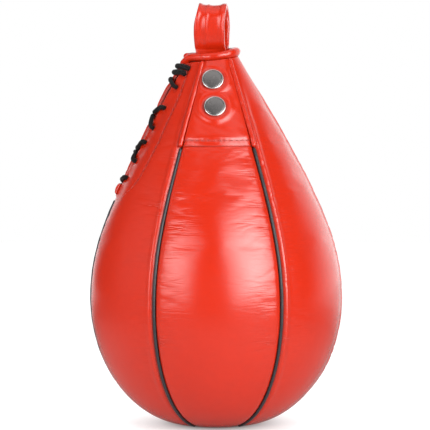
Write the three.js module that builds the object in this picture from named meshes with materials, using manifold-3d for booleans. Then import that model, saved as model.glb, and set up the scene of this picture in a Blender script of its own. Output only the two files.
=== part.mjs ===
// A speed bag: a small inflated leather ball that hangs from a strap loop riveted inside its neck.
// Millimetres, +Z up, the ball's front towards -Y. Everything is laid out from the ball's foot upwards,
// and the finished group is lowered so that the origin is the point where a hook carries the loop.
import * as THREE from "three";
import { mergeVertices } from "three/addons/utils/BufferGeometryUtils.js";
import Module from "manifold-3d";

const wasm = await Module();
wasm.setup();

// ---- driving dimensions ----
const BALL_RADIUS = 76.2; // a 6 inch ball
const BELLY_HEIGHT = 78; // where the ball is widest
const FOOT_RADIUS = 16; // the flat it has been set down on
const MOUTH = { radius: 13, height: 226 }; // the end of the neck's cone, about 9 inches up
const NECK_SLOPE = 0.575; // radius lost for each millimetre of the neck's height
const EASE = { belly: 40, neck: 73.5 }; // how far the outline keeps straight from the belly and from the mouth
const GORES = 6;
const LEATHER = 2.2; // gore thickness
const SEAM = { half: 0.75, dip: 1.5, width: 7 }; // half gap between gores, depth and half width of the crease
const GAP = 0.3; // between pieces that touch on the real ball

// The collar's ring: half widths across and fore and aft, and how far it spreads out to the slit's lips.
const COLLAR = { radius: 2.25, height: 224.2, tilt: 3.3, x: 12.4, y: 11, lap: 7, spread: 7, spreadAngle: 40 };
const RIM_DROP = COLLAR.radius + GAP; // the gores end this far under the collar's centre line

const SLIT = { azimuth: -90, foot: 143, half: 0.9, width: 8, near: 4.2, far: 6.4, reach: 78, rimDip: 3 };
const LIP_START = SLIT.foot - 4; // where the slit's lips begin to stand proud
const FACING = { angle: 21, thickness: 1.5, gap: 0.8 };
const LACE = { radius: 1.25, holeSide: 8, over: 0.4, under: 4.9, crossing: 0.9, lift: 0.3 };
const TONGUE = { foot: 145, top: 208, half: 13, depth: 9.9, thickness: 1.4 };
const STAY = { foot: 138.5, top: 144, half: 5, height: 1, thickness: 1.4 };

const STRAP = { width: 18.5, thickness: 3.2, offset: -1.8, turn: -8 };
const LOOP = { throat: 231.5, throatY: 2.9, crown: 253.9, shoulder: 238, spread: 8.5, belly: 11.5 };
const LEG_TOP = 226.3;
const PATCH = { foot: 172, thickness: 1.5, edge: 1.5 };
const RIVETS = [
  { name: "upper", height: 210.5, x: -2.4 },
  { name: "lower", height: 194.7, x: -1.3 },
];
const RIVET = { head: 6.6, rim: 0.5, dome: 1.4, shank: 2, tail: 3, tailThickness: 0.8 };
const BURR = { radius: 5, thickness: 1, gap: 1 };
const PIPING = { radius: 1.25, standoff: 1.55, flange: 0.4, depth: 1.9, foot: 1.2 };
const LINING = { outer: 5.4, inner: 6.2, top: 183, opening: 14 };
const STEM = { radius: 5.2, foot: 186, top: 200 };
// The bladder follows the ball at a gap, then narrows through a shoulder into its neck under the stem.
const BLADDER = { gap: 7.8, wall: 1.3, shoulder: 112, waist: [48, 140], neck: [16, 178] };
const VALVE = { bore: 0.8, foot: 190, flange: 1.6 };

const HANG_HEIGHT = LOOP.crown - STRAP.thickness / 2; // inside of the loop's crown

// ---- materials ----
const finish = (color, roughness, metalness = 0) =>
  new THREE.MeshStandardMaterial({ color, roughness, metalness });
const RED_LEATHER = finish(0xd8331f, 0.32);
const DARK_PIPING = finish(0x4b4346, 0.4);
const BLACK_LACE = finish(0x17100f, 0.8);
const STEEL = finish(0x9a948e, 0.25, 1);
const CLOTH = finish(0xcfc3ae, 0.95);
const BUTYL = finish(0x2a2725, 0.7);
const VALVE_RUBBER = finish(0xb9a88f, 0.6);

// ---- small helpers ----
const radians = THREE.MathUtils.degToRad;
const bell = (distance, width) => Math.exp(-((distance / width) ** 2));
const mix = THREE.MathUtils.lerp;

// Shortest way round from azimuth a to azimuth b, in degrees.
const turnBetween = (a, b) => ((((a - b) % 360) + 540) % 360) - 180;

function solidOf(geometry) {
  const bare = geometry.index ? geometry.toNonIndexed() : geometry.clone();
  for (const name of Object.keys(bare.attributes)) {
    if (name !== "position") bare.deleteAttribute(name);
  }
  const merged = mergeVertices(bare, 1e-3);
  return new wasm.Manifold(
    new wasm.Mesh({
      numProp: 3,
      vertProperties: new Float32Array(merged.attributes.position.array),
      triVerts: new Uint32Array(merged.index.array),
    }),
  );
}

function geometryOf(solid) {
  const mesh = solid.getMesh();
  return new THREE.BufferGeometry()
    .setAttribute("position", new THREE.BufferAttribute(new Float32Array(mesh.vertProperties), 3))
    .setIndex(new THREE.BufferAttribute(new Uint32Array(mesh.triVerts), 1));
}

const carve = (geometry, ...tools) =>
  geometryOf(tools.reduce((left, tool) => left.subtract(solidOf(tool)), solidOf(geometry)));
const join = (first, ...more) =>
  geometryOf(more.reduce((whole, piece) => whole.add(solidOf(piece)), solidOf(first)));

// A round cord along a smooth curve through the points.
function cord(points, radius, steps, segments = 4) {
  const section = new THREE.Shape().absarc(0, 0, radius, 0, 2 * Math.PI);
  const extrudePath = new THREE.CatmullRomCurve3(points, false, "centripetal");
  return new THREE.ExtrudeGeometry(section, { steps, extrudePath, curveSegments: segments });
}

// A lathe turns about its own Y; this stands it on +Z.
const lathe = (points, segments) =>
  new THREE.LatheGeometry(points.map(([r, z]) => new THREE.Vector2(r, z)), segments).rotateX(Math.PI / 2);

// ---- the ball's skin ----
// Outline from the foot's centre to the mouth: flat foot, a quarter ellipse up to the belly, one easy
// curve into the straight cone of the neck.
const outline = new THREE.Path()
  .moveTo(2, 0)
  .lineTo(FOOT_RADIUS, 0)
  .absellipse(FOOT_RADIUS, BELLY_HEIGHT, BALL_RADIUS - FOOT_RADIUS, BELLY_HEIGHT, -Math.PI / 2, 0)
  .bezierCurveTo(
    BALL_RADIUS,
    BELLY_HEIGHT + EASE.belly,
    MOUTH.radius + NECK_SLOPE * EASE.neck,
    MOUTH.height - EASE.neck,
    MOUTH.radius,
    MOUTH.height,
  );

// The share of the outline's length at which it reaches a height above the foot.
function shareAt(height) {
  let low = 0;
  let high = 1;
  for (let i = 0; i < 30; i += 1) {
    const middle = (low + high) / 2;
    if (outline.getPoint(middle).y < height) low = middle;
    else high = middle;
  }
  return high;
}

function outlineFrame(share) {
  const step = 1e-3;
  const here = outline.getPoint(share);
  const ahead = outline.getPoint(Math.min(1, share + step));
  const behind = outline.getPoint(Math.max(0, share - step));
  const along = ahead.sub(behind).normalize();
  return { r: here.x, z: here.y, outR: along.y, outZ: -along.x };
}

// The slit's lips stand proud of the cone, the far lip (past the slit's azimuth) more than the near one.
function lipRise(r, z, azimuth, side) {
  const climb = THREE.MathUtils.smoothstep(z, LIP_START, SLIT.foot + SLIT.reach);
  const around = radians(turnBetween(azimuth, SLIT.azimuth)) * r;
  const height = side === "far" ? SLIT.far : SLIT.near;
  return height * (0.25 + 0.75 * climb) * (z > LIP_START ? bell(around, SLIT.width) : 0);
}

function seamDip(r, azimuth) {
  const pitch = 360 / GORES;
  const offSeam = ((((azimuth - pitch / 2) % pitch) + pitch * 1.5) % pitch) - pitch / 2;
  return SEAM.dip * bell(radians(offSeam) * r, SEAM.width) * Math.min(1, r / 20);
}

// A point at a depth under the ball's outer skin (negative: above it).
function skin(share, azimuth, depth, side) {
  const { r, z, outR, outZ } = outlineFrame(share);
  const which = side ?? (turnBetween(azimuth, SLIT.azimuth) < 0 ? "far" : "near");
  const out = lipRise(r, z, azimuth, which) - seamDip(r, azimuth) - depth;
  const radius = r + outR * out;
  const a = radians(azimuth);
  return new THREE.Vector3(radius * Math.sin(a), -radius * Math.cos(a), z + outZ * out);
}

// The collar's ring climbs smoothly from the slit's side to the other.
const collarHeight = (azimuth) => COLLAR.height + COLLAR.tilt * ((1 + Math.sin(radians(azimuth))) / 2) ** 2;

// The gores' upper edge, under the collar; it dips at the slit, where the lips lean out and up.
const rimHeight = (azimuth) =>
  collarHeight(azimuth) - RIM_DROP - SLIT.rimDip * bell(turnBetween(azimuth, SLIT.azimuth), 30);

// A slab of leather bent onto the skin. Its azimuth runs between two edges kept `inset` millimetres clear of
// the given azimuths, its length from one height to another, its thickness between two depths.
function slab({ from, to, bottom, top, outer, inner, inset = [0, 0], across = 6, along = 16, side }) {
  const geometry = new THREE.BoxGeometry(1, 1, 1, across, along, 1);
  const position = geometry.attributes.position;
  const low = typeof bottom === "number" ? shareAt(bottom) : 0;
  for (let i = 0; i < position.count; i += 1) {
    const u = (1 - Math.cos(Math.PI * (position.getX(i) + 0.5))) / 2;
    const share = mix(low, shareAt(top(mix(from, to, u))), position.getY(i) + 0.5);
    const perMillimetre = 180 / Math.PI / outlineFrame(share).r;
    const azimuth = mix(from + inset[0] * perMillimetre, to - inset[1] * perMillimetre, u);
    const point = skin(share, azimuth, position.getZ(i) > 0 ? outer : inner, side);
    position.setXYZ(i, point.x, point.y, point.z);
  }
  return geometry;
}

// ---- the lace ----
// Holes in the order that the lace takes them. It lies outside between the first and second, inside between
// the second and third, and so on down the slit.
const LACE_HOLES = [
  ["near", 217],
  ["far", 216],
  ["near", 213.8],
  ["far", 212.4],
  ["far", 207.8],
  ["near", 205.6],
  ["near", 193],
  ["far", 189.2],
  ["far", 186],
  ["near", 181.2],
  ["near", 172.4],
  ["far", 168],
  ["far", 164.8],
  ["near", 161.2],
  ["near", 151],
  ["far", 148.6],
];

function besideSlit(side, height, around, depth) {
  const share = shareAt(height);
  const sign = side === "far" ? -1 : 1;
  const azimuth = SLIT.azimuth + (sign * around * 180) / Math.PI / outlineFrame(share).r;
  return skin(share, azimuth, depth, side);
}

function lacePoints() {
  const above = -(LACE.radius + LACE.over);
  const below = LACE.under + LACE.radius;
  const points = [];
  LACE_HOLES.forEach(([side, height], i) => {
    const hole = (depth) => besideSlit(side, height, LACE.holeSide, depth);
    const goingOut = i % 2 === 0;
    const stops = [hole(below), hole(LEATHER), hole(above)];
    points.push(...(goingOut ? stops : stops.reverse()));
    if (goingOut) {
      const [nextSide, nextHeight] = LACE_HOLES[i + 1];
      const towardsNext = nextSide === "far" ? LACE.crossing : 1 - LACE.crossing;
      points.push(besideSlit("far", mix(height, nextHeight, towardsNext), 0, above - LACE.lift));
    }
  });
  return points;
}

const laceCord = (radius, segments) => cord(lacePoints(), radius, 120, segments);

// ---- leather shell ----
const GORE_NAMES = ["front", "front_right", "back_right", "back", "back_left", "front_left"];

function gore(index) {
  const pitch = 360 / GORES;
  const from = (index - 0.5) * pitch;
  const to = (index + 0.5) * pitch;
  return slab({
    from,
    to,
    bottom: null,
    top: rimHeight,
    outer: 0,
    inner: LEATHER,
    inset: [SEAM.half, SEAM.half],
    side: index === 4 ? "far" : "near",
  });
}

// Piping: a bead that stands in the seam's crease with its flange sewn between the gores. It is drawn in the
// plane y = 0 and turned to its seam.
function piping(azimuth, bottom, top, grow = 0) {
  const { standoff, depth } = PIPING;
  const radius = PIPING.radius + grow;
  const flange = PIPING.flange + grow;
  const section = new THREE.Shape()
    .moveTo(flange, -depth - standoff)
    .lineTo(flange, -Math.sqrt(radius ** 2 - flange ** 2));
  for (let i = 1; i < 8; i += 1) {
    const a = -Math.PI / 2 + (i * Math.PI) / 4;
    section.lineTo(radius * Math.cos(a), radius * Math.sin(a));
  }
  section.lineTo(-flange, -Math.sqrt(radius ** 2 - flange ** 2)).lineTo(-flange, -depth - standoff);
  const stations = 16;
  const points = [];
  for (let i = 0; i <= stations; i += 1) {
    const share = mix(shareAt(bottom), shareAt(top), i / stations);
    const { r, z, outR, outZ } = outlineFrame(share);
    const out = standoff - seamDip(r, azimuth);
    points.push(new THREE.Vector3(r + outR * out, 0, z + outZ * out));
  }
  const extrudePath = new THREE.CatmullRomCurve3(points);
  const geometry = new THREE.ExtrudeGeometry(section, { steps: 18, extrudePath });
  return geometry.rotateZ(radians(azimuth - 90));
}

// A neck patch: a second layer on the gore, its side edges turned over the seams as two round welts.
function neckPatch(azimuth) {
  const half = 180 / GORES;
  const top = (a) => rimHeight(a) - 0.8;
  const face = slab({
    from: azimuth - half,
    to: azimuth + half,
    bottom: PATCH.foot,
    top,
    outer: -GAP - PATCH.thickness,
    inner: -GAP,
    inset: [1, 1],
    along: 4,
  });
  const welts = [-half, half].map((turn) => {
    const stations = 6;
    const points = [];
    for (let i = 0; i <= stations; i += 1) {
      const share = mix(shareAt(PATCH.foot), shareAt(top(azimuth + turn)), i / stations);
      points.push(skin(share, azimuth + turn, -PATCH.edge - GAP));
    }
    return cord(points, PATCH.edge, 6);
  });
  return join(face, ...welts);
}

// The rolled collar goes round the mouth from one lip of the slit to the other, wider towards the lips.
function collar() {
  const points = [];
  const stations = 28;
  for (let i = 0; i <= stations; i += 1) {
    const azimuth = mix(SLIT.azimuth + COLLAR.lap, SLIT.azimuth + 360 - COLLAR.lap, i / stations);
    const a = radians(azimuth);
    const fromSlit = turnBetween(azimuth, SLIT.azimuth);
    const spread = Math.abs(fromSlit) < 90 ? COLLAR.spread * bell(fromSlit, COLLAR.spreadAngle) : 0;
    points.push(
      new THREE.Vector3(
        (COLLAR.x + spread) * Math.sin(a),
        -(COLLAR.y + spread * 0.3) * Math.cos(a),
        collarHeight(azimuth),
      ),
    );
  }
  return cord(points, COLLAR.radius, 36);
}

// ---- strap ----
// A flat strap seen from the side: the line's two offsets, closed, and extruded across the strap's width.
function strapAlong(line) {
  const half = STRAP.thickness / 2;
  const offset = (distance) =>
    line.map((point, i) => {
      const ahead = line[Math.min(i + 1, line.length - 1)];
      const behind = line[Math.max(i - 1, 0)];
      const along = ahead.clone().sub(behind).normalize();
      return new THREE.Vector2(point.x - along.y * distance, point.y + along.x * distance);
    });
  const side = new THREE.Shape([...offset(half), ...offset(-half).reverse()]);
  return new THREE.ExtrudeGeometry(side, { depth: STRAP.width, bevelEnabled: false })
    .translate(0, 0, -STRAP.width / 2)
    .rotateX(Math.PI / 2)
    .rotateZ(Math.PI / 2);
}

function hangLoop() {
  const { throat, throatY, crown, shoulder, spread, belly } = LOOP;
  const side = new THREE.CubicBezierCurve(
    new THREE.Vector2(throatY, throat),
    new THREE.Vector2(spread, shoulder),
    new THREE.Vector2(belly, crown),
    new THREE.Vector2(0, crown),
  ).getPoints(12);
  const back = side.slice(0, -1).map((p) => new THREE.Vector2(-p.x, p.y));
  return strapAlong([...side, ...back.reverse()]);
}

// One leg: from the throat down the inside of the neck, past both rivets. The front one is drawn, and turned
// half round for the back.
const LEG_LINE = new THREE.SplineCurve([
  new THREE.Vector2(-2.6, LEG_TOP),
  new THREE.Vector2(-3, 220.5),
  new THREE.Vector2(-11.4, 208.8),
  new THREE.Vector2(-24.2, 187.4),
]).getPoints(15);

// ---- rivets ----
// Where a rivet stands: its axis is square to the neck's wall.
function rivetFrame({ height, x }, sideSign) {
  const { r, z, outR, outZ } = outlineFrame(shareAt(height));
  const frame = new THREE.Object3D();
  frame.position.set(x, -sideSign * Math.sqrt(r ** 2 - x ** 2), z);
  const outward = new THREE.Vector3(0, -sideSign * outR, outZ);
  frame.quaternion.setFromUnitVectors(new THREE.Vector3(0, 0, 1), outward);
  frame.updateMatrix();
  return frame.matrix;
}

// How far under the skin the strap leg's inner face lies, along the rivet's axis.
function legDepth(height) {
  const { r, z, outR, outZ } = outlineFrame(shareAt(height));
  const reach = LEG_LINE.map((p) => ({ p, miss: Math.abs((-p.x - r) * outZ - (p.y - z) * outR) }));
  const { p } = reach.reduce((best, next) => (next.miss < best.miss ? next : best));
  return (r + p.x) * outR + (z - p.y) * outZ + STRAP.thickness / 2;
}

const HEAD_SEAT = GAP + PATCH.thickness + GAP;

const burrTop = (height) => -legDepth(height) - BURR.gap;

function rivetShape(height) {
  const { head, rim, dome, shank, tail, tailThickness } = RIVET;
  const tailTop = burrTop(height) - BURR.thickness - GAP;
  const tailFoot = tailTop - tailThickness;
  return lathe(
    [
      [0, tailFoot - GAP],
      [tail, tailFoot],
      [tail, tailTop],
      [shank, tailTop],
      [shank, HEAD_SEAT],
      [head, HEAD_SEAT],
      [head, HEAD_SEAT + rim],
      [head * 0.93, HEAD_SEAT + rim + 0.4],
      [head * 0.6, HEAD_SEAT + dome * 0.9],
      [0, HEAD_SEAT + dome],
    ],
    16,
  );
}

function burrShape(height) {
  const { radius, thickness } = BURR;
  const top = burrTop(height);
  const floor = top - thickness;
  const bore = RIVET.shank + GAP;
  return lathe([[bore, floor], [radius, floor], [radius, top], [bore, top], [bore, floor]], 14);
}

const boreShape = () => new THREE.CylinderGeometry(RIVET.shank + GAP, RIVET.shank + GAP, 40, 12).rotateX(Math.PI / 2);
const rivetBores = (sideSign) => RIVETS.map((rivet) => boreShape().applyMatrix4(rivetFrame(rivet, sideSign)));

// ---- inside the ball ----
// Cloth lining: follows the skin, and is open behind the slit.
function lining() {
  const geometry = new THREE.BoxGeometry(1, 1, 1, 20, 12, 1);
  const position = geometry.attributes.position;
  for (let i = 0; i < position.count; i += 1) {
    const share = mix(0, shareAt(LINING.top), position.getY(i) + 0.5);
    const { r, z, outR, outZ } = outlineFrame(share);
    const opening = THREE.MathUtils.smoothstep(z, SLIT.foot - 22, SLIT.foot - 6) * LINING.opening + 0.5;
    const edge = THREE.MathUtils.radToDeg(opening / r);
    const azimuth = mix(SLIT.azimuth + edge, SLIT.azimuth + 360 - edge, position.getX(i) + 0.5);
    const depth = position.getZ(i) > 0 ? LINING.outer : LINING.inner;
    const radius = Math.max(r - outR * depth, 1);
    const a = radians(azimuth);
    position.setXYZ(i, radius * Math.sin(a), -radius * Math.cos(a), z - outZ * depth);
  }
  return geometry;
}

// Bladder: a rubber ball with a stem that is open at its top, where the valve sits.
function bladder() {
  const { gap, wall, shoulder, waist, neck } = BLADDER;
  const widest = BALL_RADIUS - gap;
  const surface = (inset) =>
    new THREE.Path()
      .moveTo(0, gap + inset)
      .lineTo(FOOT_RADIUS, gap + inset)
      .absellipse(FOOT_RADIUS, BELLY_HEIGHT, widest - FOOT_RADIUS - inset, BELLY_HEIGHT - gap - inset, -Math.PI / 2, 0)
      .bezierCurveTo(widest - inset, shoulder, waist[0] - inset, waist[1], neck[0] - inset, neck[1] - inset)
      .lineTo(STEM.radius - inset, STEM.foot - inset)
      .lineTo(STEM.radius - inset, STEM.top)
      .getPoints(4);
  const wallOf = (inset) => surface(inset).map((p) => [Math.max(p.x, 0), p.y]);
  return lathe([...wallOf(0), ...wallOf(wall).reverse()], 14);
}

// Inflation valve: a rubber plug in the stem, flanged over its rim, with a bore for the pump's needle.
function valve() {
  const { bore, foot, flange } = VALVE;
  const plug = STEM.radius - BLADDER.wall - GAP;
  const seat = STEM.top + GAP;
  return lathe(
    [
      [bore, foot],
      [plug, foot],
      [plug, seat],
      [STEM.radius, seat],
      [STEM.radius, seat + flange],
      [bore, seat + flange],
      [bore, foot],
    ],
    14,
  );
}

// ---- the assembly ----
const bag = new THREE.Group();
bag.position.z = -HANG_HEIGHT;

function place(name, geometry, material, parent = bag) {
  const mesh = new THREE.Mesh(geometry, material);
  mesh.name = name;
  parent.add(mesh);
  return mesh;
}

const laceRoom = laceCord(LACE.radius + GAP + 0.2, 3);
const leftPipingRoom = piping(SLIT.azimuth, PIPING.foot, SLIT.foot - 5, GAP);

GORE_NAMES.forEach((name, index) => {
  let geometry = gore(index);
  if (name === "front") geometry = carve(geometry, ...rivetBores(1));
  if (name === "back") geometry = carve(geometry, ...rivetBores(-1));
  if (name.endsWith("_left")) geometry = carve(geometry, laceRoom, leftPipingRoom);
  place(name + "_panel", geometry, RED_LEATHER);
});

const PIPED_SEAMS = [
  { name: "front_left_piping", azimuth: -30, top: PATCH.foot - 0.5 },
  { name: "front_right_piping", azimuth: 30, top: PATCH.foot - 0.5 },
  { name: "right_piping", azimuth: 90, top: COLLAR.height - 1.5 },
  { name: "back_right_piping", azimuth: 150, top: PATCH.foot - 0.5 },
  { name: "back_left_piping", azimuth: 210, top: PATCH.foot - 0.5 },
  { name: "left_piping", azimuth: 270, top: SLIT.foot - 6 },
];
for (const { name, azimuth, top } of PIPED_SEAMS) {
  place(name, piping(azimuth, PIPING.foot, top), DARK_PIPING);
}

place("neck_collar", collar(), RED_LEATHER);

const ENDS = [
  { end: "front", azimuth: 0, sideSign: 1 },
  { end: "back", azimuth: 180, sideSign: -1 },
];
for (const { end, azimuth, sideSign } of ENDS) {
  const bores = rivetBores(sideSign);
  place(end + "_neck_patch", carve(neckPatch(azimuth), ...bores), RED_LEATHER);

  const leg = strapAlong(LEG_LINE).rotateZ(radians(azimuth)).translate(STRAP.offset, 0, 0);
  place(end + "_strap_leg", carve(leg, ...bores), RED_LEATHER);

  for (const rivet of RIVETS) {
    const frame = rivetFrame(rivet, sideSign);
    place(`${end}_${rivet.name}_rivet`, rivetShape(rivet.height).applyMatrix4(frame), STEEL);
    place(`${end}_${rivet.name}_burr`, burrShape(rivet.height).applyMatrix4(frame), STEEL);
  }
}

const facingDepths = { outer: LEATHER + FACING.gap, inner: LEATHER + FACING.gap + FACING.thickness };
const slitSides = [
  { name: "near_slit_facing", side: "near", turn: 1 },
  { name: "far_slit_facing", side: "far", turn: -1 },
];
for (const { name, side, turn } of slitSides) {
  const edge = SLIT.azimuth + turn * FACING.angle;
  const geometry = slab({
    from: Math.min(SLIT.azimuth, edge),
    to: Math.max(SLIT.azimuth, edge),
    bottom: SLIT.foot,
    top: () => rimHeight(SLIT.azimuth) - 1,
    ...facingDepths,
    inset: turn > 0 ? [SLIT.half, 0] : [0, SLIT.half],
    across: 4,
    along: 12,
    side,
  });
  place(name, carve(geometry, laceRoom), RED_LEATHER);
}

place("lace", laceCord(LACE.radius), BLACK_LACE);

place(
  "slit_tongue",
  slab({
    from: SLIT.azimuth - TONGUE.half,
    to: SLIT.azimuth + TONGUE.half,
    bottom: TONGUE.foot,
    top: () => TONGUE.top,
    outer: TONGUE.depth,
    inner: TONGUE.depth + TONGUE.thickness,
    across: 4,
    along: 8,
    side: "near",
  }),
  RED_LEATHER,
);

place(
  "slit_stay",
  slab({
    from: SLIT.azimuth - STAY.half,
    to: SLIT.azimuth + STAY.half,
    bottom: STAY.foot,
    top: () => STAY.top,
    outer: -GAP - STAY.height - STAY.thickness,
    inner: -GAP - STAY.height,
    across: 4,
    along: 2,
    side: "far",
  }),
  RED_LEATHER,
);

place("lining", lining(), CLOTH);
place("bladder", bladder(), BUTYL);
place("inflation_valve", valve(), VALVE_RUBBER);

const loopFrame = new THREE.Group();
loopFrame.position.x = STRAP.offset;
loopFrame.rotation.z = radians(STRAP.turn);
bag.add(loopFrame);
place("hang_loop", hangLoop(), RED_LEATHER, loopFrame);

const speedBag = new THREE.Group();
speedBag.add(bag);

export default speedBag;
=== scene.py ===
"""A leather speed bag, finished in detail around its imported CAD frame.

The ball is laid out as a skin: one outline turned about the vertical axis, with lips standing up beside
the laced slit. Every sewn piece is a pair of grids bent onto that skin, or a profile carried along a path
on it. All lengths are metres in the frame of the CAD model, whose origin is where a hook carries the
strap. Heights of the sewn pieces are counted from the ball's foot.
"""

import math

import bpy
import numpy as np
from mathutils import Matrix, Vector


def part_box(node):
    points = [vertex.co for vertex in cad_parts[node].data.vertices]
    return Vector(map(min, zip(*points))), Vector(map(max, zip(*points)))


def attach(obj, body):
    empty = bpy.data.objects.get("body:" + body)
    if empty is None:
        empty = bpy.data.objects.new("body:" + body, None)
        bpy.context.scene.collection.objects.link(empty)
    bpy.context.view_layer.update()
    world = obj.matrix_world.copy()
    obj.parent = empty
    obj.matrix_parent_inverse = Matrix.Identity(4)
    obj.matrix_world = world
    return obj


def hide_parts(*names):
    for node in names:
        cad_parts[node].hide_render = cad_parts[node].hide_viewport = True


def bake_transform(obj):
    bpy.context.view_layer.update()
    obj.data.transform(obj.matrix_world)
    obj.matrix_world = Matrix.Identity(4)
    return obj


bl_info = {
    "name": "Speed Bag",
    "version": (1, 0, 0),
    "blender": (4, 5, 0),
    "location": "View3D > Sidebar > Speed Bag",
    "description": "Builds a hanging speed bag's leather, lacing, rivets and studio on its CAD frame",
    "category": "Add Mesh",
}

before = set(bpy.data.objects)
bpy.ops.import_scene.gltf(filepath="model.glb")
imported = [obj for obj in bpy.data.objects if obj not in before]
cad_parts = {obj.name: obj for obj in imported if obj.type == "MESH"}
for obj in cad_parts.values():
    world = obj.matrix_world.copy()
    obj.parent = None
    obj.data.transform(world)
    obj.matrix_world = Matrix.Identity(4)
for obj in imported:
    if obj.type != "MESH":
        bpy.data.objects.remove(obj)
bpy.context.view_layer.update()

MM = 0.001

# ---- the ball's driving dimensions, the same as the CAD model's ----
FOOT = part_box("front_panel")[0].z  # the foot, in the row frame
RADIUS = -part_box("front_panel")[0].y  # the belly's radius
BELLY = 78 * MM
FOOT_RADIUS = 16 * MM
POLE = 0.4 * MM
MOUTH_RADIUS = 13 * MM
MOUTH = 226 * MM
NECK_SLOPE = 0.575
BELLY_PULL = 40 * MM
NECK_PULL = 73.5 * MM

GORE_NAMES = ("front", "front_right", "back_right", "back", "back_left", "front_left")
PITCH = 60.0
SLIT = -90.0
SLIT_FOOT = 143 * MM
LIP_START = 139 * MM
LIP_REACH = 82 * MM
LIP_WIDTH = 8 * MM
LIP_FOOT_SHARE = 0.25
NEAR_LIP = 4.2 * MM
FAR_LIP = 6.4 * MM
PATCH_FOOT = 172 * MM
COLLAR_HEIGHT = 224.2 * MM
COLLAR_TILT = 3.3 * MM
RIM_DROP = 2.55 * MM
SLIT_RIM_DIP = 3 * MM
RIVETS = (("upper", 210.5 * MM, -2.4 * MM), ("lower", 194.7 * MM, -1.3 * MM))
HOLE_SIDE = 8 * MM
LACE_RADIUS = 1.25 * MM
# The lace's holes in order, as lip and height in millimetres: the lace is outside between the first and
# second, inside between the second and third, and so on.
LACE_HOLES = (
    ("near", 217), ("far", 216), ("near", 213.8), ("far", 212.4), ("far", 207.8), ("near", 205.6),
    ("near", 193), ("far", 189.2), ("far", 186), ("near", 181.2), ("near", 172.4), ("far", 168),
    ("far", 164.8), ("near", 161.2), ("near", 151), ("far", 148.6),
)
# The row of thread that holds the slit's facing, as (height in millimetres, azimuth), from the collar down
# and round the foot.
SLIT_ROW = (
    (219, -66), (212, -60), (203, -56), (190, -55), (165, -56),
    (152, -59), (145, -64), (140, -71), (138, -80),
)


# ---- small helpers ----
def bell(distance, width):
    """exp(-(distance / width) squared)."""
    return np.exp(-((distance / width) ** 2))


def smooth(value, low, high):
    """0 below low, 1 above high, and 3t^2 - 2t^3 between them."""
    t = np.clip((value - low) / (high - low), 0, 1)
    return t * t * (3 - 2 * t)


def plateau(value, rise, fall):
    """1 in the middle: smooth over the range where it rises x (1 - smooth over the range where it falls)."""
    return smooth(value, *rise) * (1 - smooth(value, *fall))


def mix(a, b, t):
    """a + (b - a) x t."""
    return a + (b - a) * t


def crowded(u):
    """Shares of 0..1 moved towards both ends: halfway to (1 - cos(pi u)) / 2."""
    return (u + (1 - np.cos(np.pi * u)) / 2) / 2


def turn_between(a, b):
    """Shortest way round from azimuth a to azimuth b, in degrees."""
    return (np.asarray(a) - b + 180) % 360 - 180


def unit(vectors):
    """Each vector divided by its length."""
    return vectors / np.maximum(np.linalg.norm(vectors, axis=-1, keepdims=True), 1e-12)


def wander(s, seed, lengths=(31, 17, 9.5)):
    """A slow, unrepeating value near -1 to 1 along s: sines of a few lengths in mm, at seeded phases."""
    phases = np.random.default_rng(round(seed)).uniform(0, 2 * np.pi, len(lengths))
    waves = [np.sin(2 * np.pi * s / (length * MM) + phase) for length, phase in zip(lengths, phases)]
    return sum(waves) / len(lengths)


def run_length(path):
    """The length of a polyline up to each of its points."""
    return np.concatenate([[0], np.cumsum(np.linalg.norm(np.diff(path, axis=0), axis=1))])


def cubic(points, t):
    """A cubic Bezier curve: (1-t)^3 a + 3 (1-t)^2 t b + 3 (1-t) t^2 c + t^3 d."""
    a, b, c, d = (np.array(p, float) for p in points)
    return (1 - t) ** 3 * a + 3 * (1 - t) ** 2 * t * b + 3 * (1 - t) * t**2 * c + t**3 * d


def through(points, count):
    """A curve through all the points (centripetal Catmull-Rom), resampled at equal steps of its length."""
    p = np.asarray(points, float)
    p = np.concatenate([[2 * p[0] - p[1]], p, [2 * p[-1] - p[-2]]])
    p0, p1, p2, p3 = (p[i : len(p) - 3 + i, None] for i in range(4))
    step = lambda a, b: np.maximum(np.linalg.norm(b - a, axis=-1, keepdims=True), 1e-9) ** 0.5
    t1 = step(p0, p1)
    t2 = t1 + step(p1, p2)
    t3 = t2 + step(p2, p3)
    t = t1 + (t2 - t1) * np.linspace(0, 1, 24, endpoint=False)[None, :, None]
    a1 = (t1 - t) / t1 * p0 + t / t1 * p1
    a2 = (t2 - t) / (t2 - t1) * p1 + (t - t1) / (t2 - t1) * p2
    a3 = (t3 - t) / (t3 - t2) * p2 + (t - t2) / (t3 - t2) * p3
    b1 = (t2 - t) / t2 * a1 + t / t2 * a2
    b2 = (t3 - t) / (t3 - t1) * a2 + (t - t1) / (t3 - t1) * a3
    curve = ((t2 - t) / (t2 - t1) * b1 + (t - t1) / (t2 - t1) * b2).reshape(-1, p.shape[1])
    return resample(np.concatenate([curve, p[-2:-1]]), count)


def resample(curve, count):
    """The same polyline at equal steps of its length."""
    length = run_length(curve)
    at = np.linspace(0, length[-1], count)
    return np.stack([np.interp(at, length, curve[:, k]) for k in range(curve.shape[1])], 1)


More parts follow.
